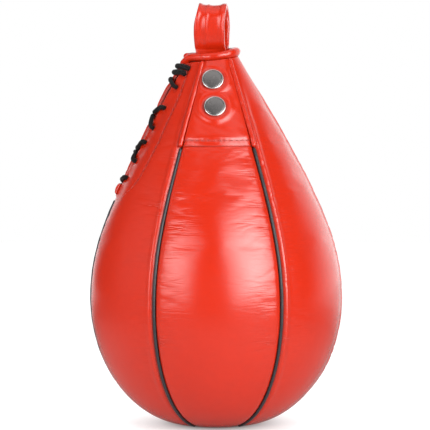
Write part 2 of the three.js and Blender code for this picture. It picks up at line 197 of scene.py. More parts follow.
# ---- the skin ----
def outline_table():
    """Length, radius and height along the outline.

    It is a flat foot, a quarter ellipse up to the belly, and one cubic from there to the mouth.
    """
    t = np.linspace(0, 1, 3000)[:, None]
    flat = np.hstack([mix(POLE, FOOT_RADIUS, t), 0 * t])
    turn = (t - 1) * np.pi / 2
    belly = np.hstack([FOOT_RADIUS + (RADIUS - FOOT_RADIUS) * np.cos(turn), BELLY * (1 + np.sin(turn))])
    below_mouth = (MOUTH_RADIUS + NECK_SLOPE * NECK_PULL, MOUTH - NECK_PULL)
    neck = cubic(((RADIUS, BELLY), (RADIUS, BELLY + BELLY_PULL), below_mouth, (MOUTH_RADIUS, MOUTH)), t)
    points = np.concatenate([flat, belly, neck])
    return run_length(points), points[:, 0], points[:, 1]


LENGTH, OUT_R, OUT_Z = outline_table()


def length_at(height):
    """How far along the outline it reaches a height above the foot."""
    return np.interp(height, OUT_Z, LENGTH)


def outline_at(s):
    """Radius, height and the outward normal's two parts at a length along the outline."""
    step = 0.3 * MM
    r = np.interp(s, LENGTH, OUT_R)
    z = np.interp(s, LENGTH, OUT_Z)
    dr = np.interp(s + step, LENGTH, OUT_R) - np.interp(s - step, LENGTH, OUT_R)
    dz = np.interp(s + step, LENGTH, OUT_Z) - np.interp(s - step, LENGTH, OUT_Z)
    size = np.hypot(dr, dz)
    return r, z, dz / size, -dr / size


def seam_arc(r, azimuth):
    """Distance round the ball to the nearest seam."""
    return np.abs((azimuth % PITCH) - PITCH / 2) * np.pi / 180 * r


def lip_rise(r, z, azimuth, far):
    """Each lip stands up beside the slit, and higher towards the mouth: height x climb x bell(arc)."""
    climb = mix(LIP_FOOT_SHARE, 1, smooth(z, LIP_START, LIP_START + LIP_REACH))
    start = smooth(z, LIP_START - 1.5 * MM, LIP_START + 1.5 * MM)
    arc = np.radians(turn_between(azimuth, SLIT)) * r
    return np.where(far, FAR_LIP, NEAR_LIP) * climb * start * bell(arc, LIP_WIDTH)


def seam_dip(r, azimuth):
    """The crease along a seam: depth x bell(arc), fading out where the gores meet at the foot."""
    sizes = bpy.context.scene.speed_bag_sizes
    return sizes.seam_dip * bell(seam_arc(r, azimuth), sizes.seam_width) * np.minimum(1, r / (20 * MM))


def skin(s, azimuth, above=0.0, far=False):
    """Points a distance above the ball's skin, at a length along the outline and an azimuth in degrees."""
    r, z, out_r, out_z = outline_at(s)
    out = lip_rise(r, z, azimuth, far) - seam_dip(r, azimuth) + above
    a = np.radians(azimuth)
    radius = r + out_r * out
    height = FOOT + z + out_z * out
    return np.stack(np.broadcast_arrays(radius * np.sin(a), -radius * np.cos(a), height), -1)


def outward(s, azimuth):
    """The smooth outline's outward normal."""
    out_r, out_z = outline_at(s)[2:]
    a = np.radians(azimuth)
    return np.stack(np.broadcast_arrays(out_r * np.sin(a), -out_r * np.cos(a), out_z), -1)


def collar_height(azimuth):
    """The collar climbs away from the slit: height + tilt x ((1 + sin azimuth) / 2) squared."""
    return COLLAR_HEIGHT + COLLAR_TILT * ((1 + np.sin(np.radians(azimuth))) / 2) ** 2


def rim_height(azimuth):
    """Where the gores end under the collar: its height - drop - dip x bell(turn from the slit)."""
    return collar_height(azimuth) - RIM_DROP - SLIT_RIM_DIP * bell(turn_between(azimuth, SLIT), 30)


# ---- meshes ----
def quads(index):
    """Faces of a grid of vertex numbers."""
    return np.stack([index[:-1, :-1], index[:-1, 1:], index[1:, 1:], index[1:, :-1]], -1).reshape(-1, 4)


def closed_pair(outer, inner):
    """Two grids of one size joined along all four edges: both faces of a sheet and its cut edge."""
    rows, cols = outer.shape[:2]
    o = np.arange(rows * cols).reshape(rows, cols)
    n = o + rows * cols
    strips = [(o[:, 0], n[:, 0]), (n[:, -1], o[:, -1]), (n[0], o[0]), (o[-1], n[-1])]
    faces = [quads(o), quads(n)[:, ::-1]]
    faces += [np.stack([a[:-1], a[1:], b[1:], b[:-1]], -1) for a, b in strips]
    return np.concatenate([outer.reshape(-1, 3), inner.reshape(-1, 3)]), np.concatenate(faces)


def ringed(rings, closed=False):
    """A profile carried along a path: rings joined in turn, closed on itself or with a face at each end."""
    count, around = rings.shape[:2]
    index = np.arange(count * around).reshape(count, around)
    index = np.hstack([index, index[:, :1]])
    if closed:
        return rings.reshape(-1, 3), quads(np.vstack([index, index[:1]])), []
    return rings.reshape(-1, 3), quads(index), [index[0, :-1].tolist()[::-1], index[-1, :-1].tolist()]


def signed_volume(points, faces):
    """A sixth of the sum of a . (b x c + c x d) over the quads abcd: below 0 where they face inward."""
    p = points[faces]
    return np.einsum("ij,ij->i", p[:, 0], np.cross(p[:, 1], p[:, 2]) + np.cross(p[:, 2], p[:, 3])).sum() / 6


def new_piece(name, parts, material, body="bag", stands_for=(), uv=None, marks=None):
    """One mesh object from (points, quads, other faces) parts, faces outward, riding on its body."""
    points, faces, start = [], [], 0
    for part_points, part_quads, *others in parts:
        flip = -1 if signed_volume(part_points, part_quads) < 0 else 1
        faces += (part_quads[:, ::flip] + start).tolist()
        faces += [[v + start for v in face[::flip]] for face in (others[0] if others else [])]
        points.append(part_points)
        start += len(part_points)
    mesh = bpy.data.meshes.new(name)
    mesh.from_pydata(np.concatenate(points).tolist(), [], faces)
    mesh.polygons.foreach_set("use_smooth", np.ones(len(mesh.polygons), bool))
    if uv is not None:
        corner = np.empty(len(mesh.loops), np.int32)
        mesh.loops.foreach_get("vertex_index", corner)
        layer = mesh.uv_layers.new(name="run")
        layer.data.foreach_set("uv", uv.reshape(-1, 2)[corner].astype(np.float32).ravel())
    for mark, values in (marks or {}).items():
        layer = mesh.attributes.new(mark, "FLOAT", "POINT")
        layer.data.foreach_set("value", values.astype(np.float32).ravel())
    mesh.materials.append(material)
    piece = bpy.data.objects.new(name, mesh)
    bpy.context.scene.collection.objects.link(piece)
    if body:
        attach(piece, body)
    if stands_for:
        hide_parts(*stands_for)
    return piece


def transported(path):
    """Tangents of a path and two normals carried along it without twist."""
    tangent = unit(np.gradient(path, axis=0))
    side = np.empty_like(path)
    first = np.cross(tangent[0], (0.3, 0.2, 0.9))
    side[0] = first / np.linalg.norm(first)
    for i in range(1, len(path)):
        side[i] = side[i - 1] - tangent[i] * (side[i - 1] @ tangent[i])
        side[i] /= np.linalg.norm(side[i])
    return tangent, side, np.cross(tangent, side)


def rounded_ends(length, end):
    """A radius factor along a path that closes both ends as half balls."""
    from_end = np.clip(np.minimum(length, length[-1] - length) / end, 0, 1)
    return np.sqrt(np.clip(1 - (1 - from_end) ** 2, 0.0016, 1))


def tube(path, radius, around, frames=None):
    """Circles of the radii given, square to a path; ring point = path + radius x (cos side + sin up)."""
    _, side, up = frames or transported(path)
    a = np.linspace(0, 2 * np.pi, around, endpoint=False)
    circle = np.cos(a)[None, :, None] * side[:, None] + np.sin(a)[None, :, None] * up[:, None]
    return path[:, None] + np.broadcast_to(radius, len(path))[:, None, None] * circle


def lathed(profile, around, place):
    """A profile of (radius, height) turned about its axis and put in place by a matrix."""
    a = np.linspace(0, 2 * np.pi, around, endpoint=False)
    r, h = np.asarray(profile).T
    rings = np.stack(np.broadcast_arrays(r[:, None] * np.cos(a), r[:, None] * np.sin(a), h[:, None]), -1)
    matrix = np.array(place)
    return rings @ matrix[:3, :3].T + matrix[:3, 3]


def arc_points(centre, radius, start, end, count):
    """Points on an arc in a profile, angles in degrees."""
    a = np.radians(np.linspace(start, end, count))
    return np.stack([centre[0] + radius * np.cos(a), centre[1] + radius * np.sin(a)], 1)


# ---- shader nodes ----
class Wire:
    """A socket that takes part in Python sums: each operator adds one Math node."""

    def __init__(self, bench, socket):
        self.bench = bench
        self.socket = socket

    def sum(self, operation, first, second=0.0):
        return self.bench.node("ShaderNodeMath", {"operation": operation}, {0: first, 1: second})["Value"]

    def __add__(self, other):
        return self.sum("ADD", self, other)

    def __sub__(self, other):
        return self.sum("SUBTRACT", self, other)

    def __rsub__(self, other):
        return self.sum("SUBTRACT", other, self)

    def __mul__(self, other):
        return self.sum("MULTIPLY", self, other)

    def __truediv__(self, other):
        return self.sum("DIVIDE", self, other)

    def __rtruediv__(self, other):
        return self.sum("DIVIDE", other, self)

    def __pow__(self, other):
        return self.sum("POWER", self, other)

    def __rpow__(self, other):
        return self.sum("POWER", other, self)

    def __abs__(self):
        return self.sum("ABSOLUTE", self)

    def sine(self):
        return self.sum("SINE", self)

    def least(self, other):
        return self.sum("MINIMUM", self, other)

    def most(self, other):
        return self.sum("MAXIMUM", self, other)

    __radd__ = __add__
    __rmul__ = __mul__


class Bench:
    """A material's node tree with one Principled shader, whose constants are set on its own sockets."""

    def __init__(self, name, **constants):
        self.material = bpy.data.materials.new("bag_" + name)
        self.material.use_nodes = True
        self.tree = self.material.node_tree
        self.shader = next(n for n in self.tree.nodes if n.type == "BSDF_PRINCIPLED")
        for socket, value in constants.items():
            self.shader.inputs[socket.replace("_", " ")].default_value = value

    def node(self, kind, settings=None, sockets=None):
        """Adds a node, sets its settings, then its sockets to values or links, and returns its outputs."""
        made = self.tree.nodes.new(kind)
        settings = dict(settings or {})
        stops = settings.pop("stops", None)
        for key, value in settings.items():
            setattr(made, key, value)
        if stops:
            for element, (position, value) in zip(made.color_ramp.elements, stops, strict=True):
                element.position = position
                element.color = (value, value, value, 1)
        for key, value in (sockets or {}).items():
            if isinstance(value, Wire):
                self.tree.links.new(value.socket, made.inputs[key])
            else:
                made.inputs[key].default_value = value
        return Outputs(self, made)

    def drive(self, **sockets):
        """Links what varies over the surface to the shader's sockets."""
        for key, wire in sockets.items():
            self.tree.links.new(wire.socket, self.shader.inputs[key.replace("_", " ")])

    def place(self, scale=(1, 1, 1)):
        """Object coordinates, stretched by a factor on each axis."""
        where = self.node("ShaderNodeTexCoord")["Object"]
        return self.node("ShaderNodeMapping", {}, {"Vector": where, "Scale": scale})["Vector"]

    def run(self, scale=(1, 1, 1)):
        """The piece's own lengths, around and along, stretched by a factor on each."""
        where = self.node("ShaderNodeUVMap", {"uv_map": "run"})["UV"]
        return self.node("ShaderNodeMapping", {}, {"Vector": where, "Scale": scale})["Vector"]

    def split(self, vector):
        """A vector's three parts."""
        parts = self.node("ShaderNodeSeparateXYZ", {}, {0: vector})
        return parts["X"], parts["Y"], parts["Z"]

    def mark(self, name):
        """A value that the piece's code has put on its points."""
        return self.node("ShaderNodeAttribute", {"attribute_name": name})["Fac"]

    def noise(self, where, scale, detail=3.0, roughness=0.55):
        """Noise centred on 0, about -1 to 1."""
        sockets = {"Vector": where, "Scale": scale, "Detail": detail, "Roughness": roughness}
        return (self.node("ShaderNodeTexNoise", {}, sockets)["Fac"] - 0.5) * 2.0

    def cells(self, where, scale):
        """Distance to the nearest of scattered points."""
        return self.node("ShaderNodeTexVoronoi", {}, {"Vector": where, "Scale": scale})["Distance"]

    def between(self, factor, a, b):
        """Colour a where the factor is 0, colour b where it is 1."""
        made = self.node("ShaderNodeMix", {"data_type": "RGBA"}, {0: factor, 6: a, 7: b})
        return made[2]

    def bump(self, height, distance, under=None):
        """A normal from a height x distance, over another normal if one is given."""
        sockets = {"Height": height, "Distance": distance, "Strength": 1.0}
        if under is not None:
            sockets["Normal"] = under
        return self.node("ShaderNodeBump", {}, sockets)["Normal"]


class Outputs:
    """A node's outputs, each as a wire."""

    def __init__(self, bench, made):
        self.bench = bench
        self.made = made

    def __getitem__(self, key):
        return Wire(self.bench, self.made.outputs[key])


def shade(colour, factor):
    """A colour made lighter or darker, as RGBA."""
    return tuple(min(1.0, c * factor) for c in colour) + (1.0,)


BLACK = (0, 0, 0, 1)
WHITE = (1, 1, 1, 1)


# ---- finishes ----
LACE_STRANDS = 8  # how often a strand of the lace's braid comes up in one turn round it
THREAD_PLIES = 2
CROSS_RIBS = 2600.0  # radians a metre of the ribs across piping and lace
TWIST = 5200.0  # radians a metre of a thread's twist
WEAVE = 9000.0  # radians a metre of the lining's weave


def leather_finish(name, colour, shirred=True, cut_edge=None):
    """Coated leather: fine pebble grain, slow clouding, painted shade in its creases and fold valleys, and
    gathers where it was sewn.
    """
    looks = bpy.context.scene.speed_bag_looks
    bench = Bench(name, IOR=1.5, Specular_IOR_Level=looks.shine)
    where = bench.place()
    cloud = bench.noise(where, 28, 2.0)
    mottle = bench.noise(where, 240, 3.0)
    pebble = bench.cells(where, 1150)
    pores = bench.noise(where, 2600, 2.0)
    tone = bench.between(cloud * 0.5 + 0.5, shade(colour, 0.93), shade(colour, 1.05))
    tone = bench.between((mottle * 0.28 + 0.12).most(0.0), tone, shade(colour, 0.8))
    # Painted shade: the crease mark darkens the colour in seam creases, lace dimples, thread grooves and the
    # collar's lap, and roughens them.
    crease = bench.mark("crease").least(1.0)
    tone = bench.between(crease * 0.5, tone, shade(colour, 0.45))
    if cut_edge is not None:
        raw = bench.mark("cut").least(1.0)
        fibres = bench.noise(bench.run((900, 90, 1)), 1.0, 3.0)
        edge_tone = bench.between(fibres * 0.5 + 0.5, shade(cut_edge, 0.75), shade(cut_edge, 1.1))
        tone = bench.between(raw, tone, edge_tone)
    grain = pebble * -0.5 + pores * 0.2
    normal = bench.bump(grain, looks.grain_depth)
    if shirred:
        patches = (bench.noise(bench.run((40, 55, 1)), 1.0, 2.0) * 1.5 + 0.8).most(0.15).least(1.0)
        shirr = bench.mark("shirr") * patches
        fine = bench.noise(bench.run((30, 250, 1)), 1.0, 3.0, 0.55)
        broad = bench.noise(bench.run((20, 95, 1)), 1.0, 2.0, 0.5)
        valley = (0.16 - abs(fine)).most(0.0) * 6.0 + (0.1 - abs(broad)).most(0.0) * 8.0
        folds = (valley * -0.6 + broad * 1.2) * shirr
        normal = bench.bump(folds, looks.fold_depth, normal)
        # Painted shade: the fold valleys darken the colour as well as the bump.
        crease = (crease + valley * shirr * 0.35).least(1.0)
        tone = bench.between(valley * shirr * 0.22, tone, shade(colour, 0.5))
    bench.drive(
        Base_Color=tone,
        Roughness=mottle * 0.04 + cloud * 0.02 + crease * 0.25 + looks.leather_roughness,
        Normal=normal,
    )
    return bench.material


def piping_finish():
    """Dark coated piping: a faint cross grain from the cord inside, and a satin shine."""
    looks = bpy.context.scene.speed_bag_looks
    bench = Bench("piping", Coat_Weight=0.12, Coat_Roughness=0.25, Specular_IOR_Level=0.35)
    around, along, _ = bench.split(bench.run())
    where = bench.place()
    rib = (along * CROSS_RIBS + around * 6.0).sine()
    dust = bench.noise(where, 190, 3.0)
    normal = bench.bump(rib * 0.5 + bench.noise(where, 1500, 2.0) * 0.5, 0.06 * MM)
    tone = bench.between(dust * 0.5 + 0.5, shade(looks.piping_colour, 0.75), shade(looks.piping_colour, 1.5))
    bench.drive(Base_Color=tone, Roughness=dust * 0.08 + 0.34, Normal=normal)
    return bench.material


def lace_finish():
    """Braided cord: two sets of strands cross round it, the higher one showing, with loose fibres, and
    painted shade between the strands.
    """
    looks = bpy.context.scene.speed_bag_looks
    bench = Bench("lace_cord", Specular_IOR_Level=0.12, Sheen_Weight=0.04, Sheen_Roughness=0.5)
    around, along, _ = bench.split(bench.run())
    turns = around * (2 * math.pi * LACE_STRANDS)
    one = (turns + along * CROSS_RIBS).sine()
    two = (turns - along * CROSS_RIBS).sine()
    braid = one.most(two)
    fibres = bench.noise(bench.place(), 3200, 2.0)
    # Painted shade and light: darker where the braid is low between strands, lighter on their crowns.
    tone = bench.between(braid * 0.5 + 0.5, shade(looks.lace_colour, 0.35), shade(looks.lace_colour, 1.6))
    bench.drive(
        Base_Color=tone,
        Roughness=fibres * 0.1 + 0.62,
        Normal=bench.bump(braid + fibres * 0.3, 0.16 * MM),
    )
    return bench.material


def steel_finish():
    """Plated steel: fine scratches that wander, clouding of the plate, dulled marks, and a painted highlight
    round each head's rim.
    """
    looks = bpy.context.scene.speed_bag_looks
    bench = Bench("rivet_steel", Metallic=1.0)
    where = bench.place()
    scratch = bench.noise(bench.place((5, 1, 60)), 160, 4.0, 0.7)
    cloud = bench.noise(where, 420, 3.0)
    stops = {"stops": [(0.58, 0), (0.72, 1)]}
    spots = bench.node("ShaderNodeValToRGB", stops, {0: cloud * 0.5 + 0.5})["Color"]
    tone = bench.between(spots * 0.25, shade(looks.steel_colour, 1.05), shade(looks.steel_colour, 0.7))
    # Painted highlight: the head's rim takes a much lighter colour than the plate.
    tone = bench.between(bench.mark("rim_highlight").least(1.0), tone, shade(looks.steel_colour, 3.0))
    bench.drive(
        Base_Color=tone,
        Roughness=(scratch * 0.04 + cloud * 0.03 + 0.26).most(0.12),
        Normal=bench.bump(scratch + cloud * 0.3, 0.004 * MM),
    )
    return bench.material


def thread_finish():
    """Sewing thread: two plies twisted along each stitch, painted darker in the groove between them."""
    looks = bpy.context.scene.speed_bag_looks
    bench = Bench("thread", Specular_IOR_Level=0.5, Sheen_Weight=0.2)
    around, along, _ = bench.split(bench.run())
    ply = (around * (2 * math.pi * THREAD_PLIES) + along * TWIST).sine()
    # Painted shade: darker where the twist is low, between the plies.
    tone = bench.between(ply * 0.5 + 0.5, shade(looks.thread_colour, 0.55), shade(looks.thread_colour, 1.1))
    bench.drive(Base_Color=tone, Roughness=ply * 0.08 + 0.5, Normal=bench.bump(ply, 0.08 * MM))
    return bench.material


def cloth_finish():
    """Cotton drill: warp and weft as two waves on the cloth's own lengths, with slubs, and painted shade
    where the weave lies low.
    """
    looks = bpy.context.scene.speed_bag_looks
    bench = Bench("lining_cloth", Sheen_Weight=0.2, Specular_IOR_Level=0.2)
    around, along, _ = bench.split(bench.run())
    warp = (around * WEAVE + along * (WEAVE / 2)).sine()
    weft = (along * WEAVE).sine()
    weave = warp.most(weft)
    slub = bench.noise(bench.run((60, 900, 1)), 1.0, 3.0)
    # Painted shade where the weave is low between threads; the slubs vary the tone at random.
    tone = bench.between(
        (weave * 0.3 + slub * 0.3 + 0.5), shade(looks.cloth_colour, 0.7), shade(looks.cloth_colour, 1.1)
    )
    bench.drive(Base_Color=tone, Roughness=slub * 0.05 + 0.88, Normal=bench.bump(weave + slub, 0.15 * MM))
    return bench.material


def rubber_finish(name, colour, roughness):
    """Moulded rubber: chalky bloom in patches over a faintly pitted skin."""
    bench = Bench(name, Specular_IOR_Level=0.4)
    where = bench.place()
    bloom = bench.noise(where, 60, 4.0, 0.6)
    pits = bench.cells(where, 900)
    tone = bench.between((bloom * 0.5 + 0.5).most(0.0), shade(colour, 0.8), shade(colour, 1.35))
    normal = bench.bump(pits + bloom * 0.5, 0.05 * MM)
    bench.drive(Base_Color=tone, Roughness=bloom * 0.1 + roughness, Normal=normal)
    return bench.material


def finish(key):
    """The finishes by name; each is made when a piece first asks for it."""
    looks = bpy.context.scene.speed_bag_looks
    makers = {
        "red_leather": lambda: leather_finish("red_leather", looks.leather_colour),
        "trim_leather": lambda: leather_finish("trim_leather", looks.leather_colour, shirred=False),
        "strap_leather": lambda: leather_finish(
            "strap_leather", looks.strap_colour, shirred=False, cut_edge=looks.cut_edge_colour
        ),
        "piping": piping_finish,
        "lace_cord": lace_finish,
        "rivet_steel": steel_finish,
        "thread": thread_finish,
        "lining_cloth": cloth_finish,
        "bladder_rubber": lambda: rubber_finish("bladder_rubber", looks.bladder_colour, 0.62),
        "valve_rubber": lambda: rubber_finish("valve_rubber", looks.valve_colour, 0.55),
    }
    return bpy.data.materials.get("bag_" + key) or makers[key]()


# ---- the inflated shape ----
SWELL = {}  # the swell of the skin over (length, azimuth), kept between pieces
CLOTH_SHARES = (0.04, 0.93)  # the shares of the outline's length that the blown cloth spans
CALMINGS = 14  # rounds of averaging that part the cloth's smooth swell from its buckles
PLAIN_SWELL = 1.2 * MM  # the swell of a gore's middle where no cloth is blown


def skin_cloth(rows, columns):
    """The skin as one cloth: a grid of lengths and azimuths, closed round the ball, on the plain outline."""
    s = np.linspace(*CLOTH_SHARES, rows) * LENGTH[-1]
    azimuth = np.arange(columns) * 360 / columns
    r, z = outline_at(s)[:2]
    a = np.radians(azimuth)
    x, y = np.outer(r, np.sin(a)), -np.outer(r, np.cos(a))
    return s, azimuth, np.stack(np.broadcast_arrays(x, y, FOOT + z[:, None]), -1)


def inflate(rows=112, columns=120, frames=20):
    """Blows the skin up as cloth held along its seams, foot and neck, and keeps how far each point swells.

    Swell = (cloth after the pressure run - cloth before) along the outward normal, capped. The kept swell =
    its averaged part x swell share + the rest x buckle share.
    """
    sizes = bpy.context.scene.speed_bag_sizes
    s, azimuth, grid = skin_cloth(rows, columns)
    index = np.arange(rows * columns).reshape(rows, columns)
    faces = quads(np.hstack([index, index[:, :1]]))
    mesh = bpy.data.meshes.new("blown_skin")
    mesh.from_pydata(grid.reshape(-1, 3).tolist(), [], faces.tolist())
    cloth = bpy.data.objects.new("blown_skin", mesh)
    bpy.context.scene.collection.objects.link(cloth)
    held = np.zeros((rows, columns), bool)
    held[:, seam_arc(1.0, azimuth) < 0.01] = True
    held[:3] = True
    held[-3:] = True
    group = cloth.vertex_groups.new(name="sewn")
    group.add(index[held].tolist(), 1.0, "REPLACE")
    run = cloth.modifiers.new("air", "CLOTH")
    run.settings.quality = 6
    run.settings.mass = 0.25
    run.settings.tension_stiffness = 12
    run.settings.compression_stiffness = 12
    run.settings.shear_stiffness = 8
    run.settings.bending_stiffness = 1.5
    run.settings.use_pressure = True
    run.settings.uniform_pressure_force = sizes.air_pressure
    run.settings.shrink_min = -sizes.slack
    run.settings.vertex_group_mass = "sewn"
    run.settings.effector_weights.gravity = 0
    run.point_cache.frame_end = frames
    for step in range(1, frames + 1):
        bpy.context.scene.frame_set(step)
    solved = cloth.evaluated_get(bpy.context.evaluated_depsgraph_get()).data
    after = np.empty(rows * columns * 3)
    solved.vertices.foreach_get("co", after)
    normal = outward(s[:, None], azimuth[None, :])
    swell = np.einsum("ijk,ijk->ij", after.reshape(rows, columns, 3) - grid, normal)
    bpy.data.objects.remove(cloth)
    bpy.data.meshes.remove(mesh)
    bpy.context.scene.frame_set(1)
    swell = np.clip(swell, -sizes.swell_cap, sizes.swell_cap)
    calm = swell
    for _ in range(CALMINGS):
        beside = sum(np.roll(calm, step, axis) for axis in (0, 1) for step in (1, -1))
        calm = (beside + 4 * calm) / 8
    SWELL["grid"] = (s, azimuth, calm * sizes.swell_share + (swell - calm) * sizes.buckle_share)


def swell_at(s, azimuth):
    """The kept swell between its grid points (bilinear), away from the lips and the foot."""
    s, azimuth = np.broadcast_arrays(s, azimuth)
    if "grid" not in SWELL:
        off_centre = np.radians(turn_between(azimuth, np.round(azimuth / PITCH) * PITCH))
        inside = np.maximum(np.cos(off_centre * 90 / (PITCH / 2)), 0)
        return PLAIN_SWELL * inside * plateau(s, (20 * MM, 60 * MM), (200 * MM, 260 * MM))
    lengths, turns, swell = SWELL["grid"]
    swell = np.hstack([swell, swell[:, :1]])
    row = np.clip((s - lengths[0]) / (lengths[1] - lengths[0]), 0, len(lengths) - 1.001)
    column = (azimuth % 360) / (turns[1] - turns[0])
    i, j = row.astype(int), column.astype(int)
    u, v = row - i, column - j
    low = mix(swell[i, j], swell[i, j + 1], v)
    high = mix(swell[i + 1, j], swell[i + 1, j + 1], v)
    first, last = lengths[0], lengths[-1]
    ends = plateau(s, (first, first + 15 * MM), (last - 25 * MM, last - 5 * MM))
    r = np.interp(s, LENGTH, OUT_R)
    height = np.interp(s, LENGTH, OUT_Z)
    from_slit = np.abs(np.radians(turn_between(azimuth, SLIT))) * r
    at_lips = smooth(height, LIP_START - 10 * MM, LIP_START + 10 * MM)
    beside_lips = 1 - smooth(from_slit, 8 * MM, 20 * MM)
    return mix(low, high, u) * ends * (1 - at_lips * beside_lips)


# ---- leather shell ----
ROLL_COLUMNS = 6
RIDGED = {  # the seams, by azimuth, where the seam allowance is pressed under this gore
    "front": (), "front_left": (-30,), "front_right": (30, 90),
    "back": (), "back_left": (210,), "back_right": (150,),
}
RIDGE_ARC, RIDGE_WIDTH = 3.3 * MM, 1.9 * MM  # how far from its seam the allowance's ridge lies, and its width
# Heights over which the ridges and the gathers rise from nothing, and over which they fade again.
RIDGE_RISE, RIDGE_FALL = (8 * MM, 40 * MM), (190 * MM, 215 * MM)
GATHER_RISE, GATHER_FALL = (12 * MM, 40 * MM), (165 * MM, 200 * MM)
SHIRR_REACH = 17 * MM
CROSSING_SHARE = 0.06  # how far past the far side's hole a crossing lies, as a share of its rise
CROSSING_WIDTH = 3.4 * MM
HOLE_WIDTH = 2.6 * MM
ROW_WIDTH = 1.3 * MM


def gore_columns(r, roll_from, roll_to, count):
    """Azimuths off the gore's centre line, and depths, of its columns.

    Each long edge rolls into its seam, for t from 90 to 0: arc = gap + roll (1 - sin t), and depth =
    roll (1 - cos t). Between the rolls the columns crowd towards both edges.
    """
    half = np.radians(PITCH / 2) * r
    gap = bpy.context.scene.speed_bag_sizes.seam_gap
    t = np.radians(np.linspace(90, 0, ROLL_COLUMNS))
    edges = []
    for roll in (roll_from, roll_to):
        fit = np.clip(half / (3 * (gap + roll)), 0, 1)[:, None]
        arc = (gap + roll[:, None] * (1 - np.sin(t))) * fit
        edges.append((np.degrees(arc / r[:, None]), roll[:, None] * fit))
    u = crowded(np.linspace(0, 1, count + 2)[1:-1])
    left = edges[0][0] - PITCH / 2
    right = PITCH / 2 - edges[1][0][:, ::-1]
    middle = mix(left[:, -1:], right[:, :1], u)
    left_depth = edges[0][1] * (1 - np.cos(t))
    right_depth = (edges[1][1] * (1 - np.cos(t)))[:, ::-1]
    return np.hstack([left, middle, right]), np.hstack([left_depth, 0 * middle, right_depth])


def folds(s, arc, seed):
    """Gathers square to a seam: rounded lobes with sharp valleys, 1 - |sin|, dying away from the seam."""
    sizes = bpy.context.scene.speed_bag_sizes
    drift = arc * 0.35 + 1.6 * MM * wander(s, seed + 1)
    lobe = 1 - np.abs(np.sin(np.pi * (s + drift) / sizes.fold_pitch))
    fine = 1 - np.abs(np.sin(np.pi * (s - drift * 0.7) / (sizes.fold_pitch * 0.45) + 1.3))
    reach = sizes.fold_reach * (1 + 0.5 * wander(s, seed + 2, (40, 23, 13)))
    strength = smooth(0.5 + 0.75 * wander(s, seed + 3, (70, 37, 19)), 0.1, 0.9)
    start = smooth(arc, 0.5 * MM, 3 * MM)
    return -(lobe**2 + 0.45 * fine**2) * strength * start * np.exp(-arc / reach)


def crossings():
    """Heights at which the lace lies over the slit, near the far side's holes."""
    pairs = zip(LACE_HOLES[::2], LACE_HOLES[1::2])
    past_far, before_far = 1 + CROSSING_SHARE, -CROSSING_SHARE
    return [mix(one[1], two[1], past_far if two[0] == "far" else before_far) for one, two in pairs]


def crossing_notch(s, arc):
    """Where the lace pulls the lips in as it crosses them, 0 to 1."""
    spots = [bell(np.hypot(arc, s - length_at(height * MM)), CROSSING_WIDTH) for height in crossings()]
    return np.max(spots, axis=0)


def hole_marks(s, arc, far):
    """Where the lace goes through a lip: (pulled-in dimple, 0 to 1) at each of that side's holes."""
    pulled = np.zeros(np.broadcast(s, arc).shape)
    for side, height in LACE_HOLES:
        if (side == "far") == far:
            distance = np.hypot(arc - HOLE_SIDE, s - length_at(height * MM))
            pulled = np.maximum(pulled, bell(distance, HOLE_WIDTH))
    return pulled


def row_azimuth(height):
    """The azimuth of the facing's thread row on the near side at a height."""
    heights, azimuths = np.array(sorted(SLIT_ROW)).T
    return np.interp(height / MM, heights, azimuths)


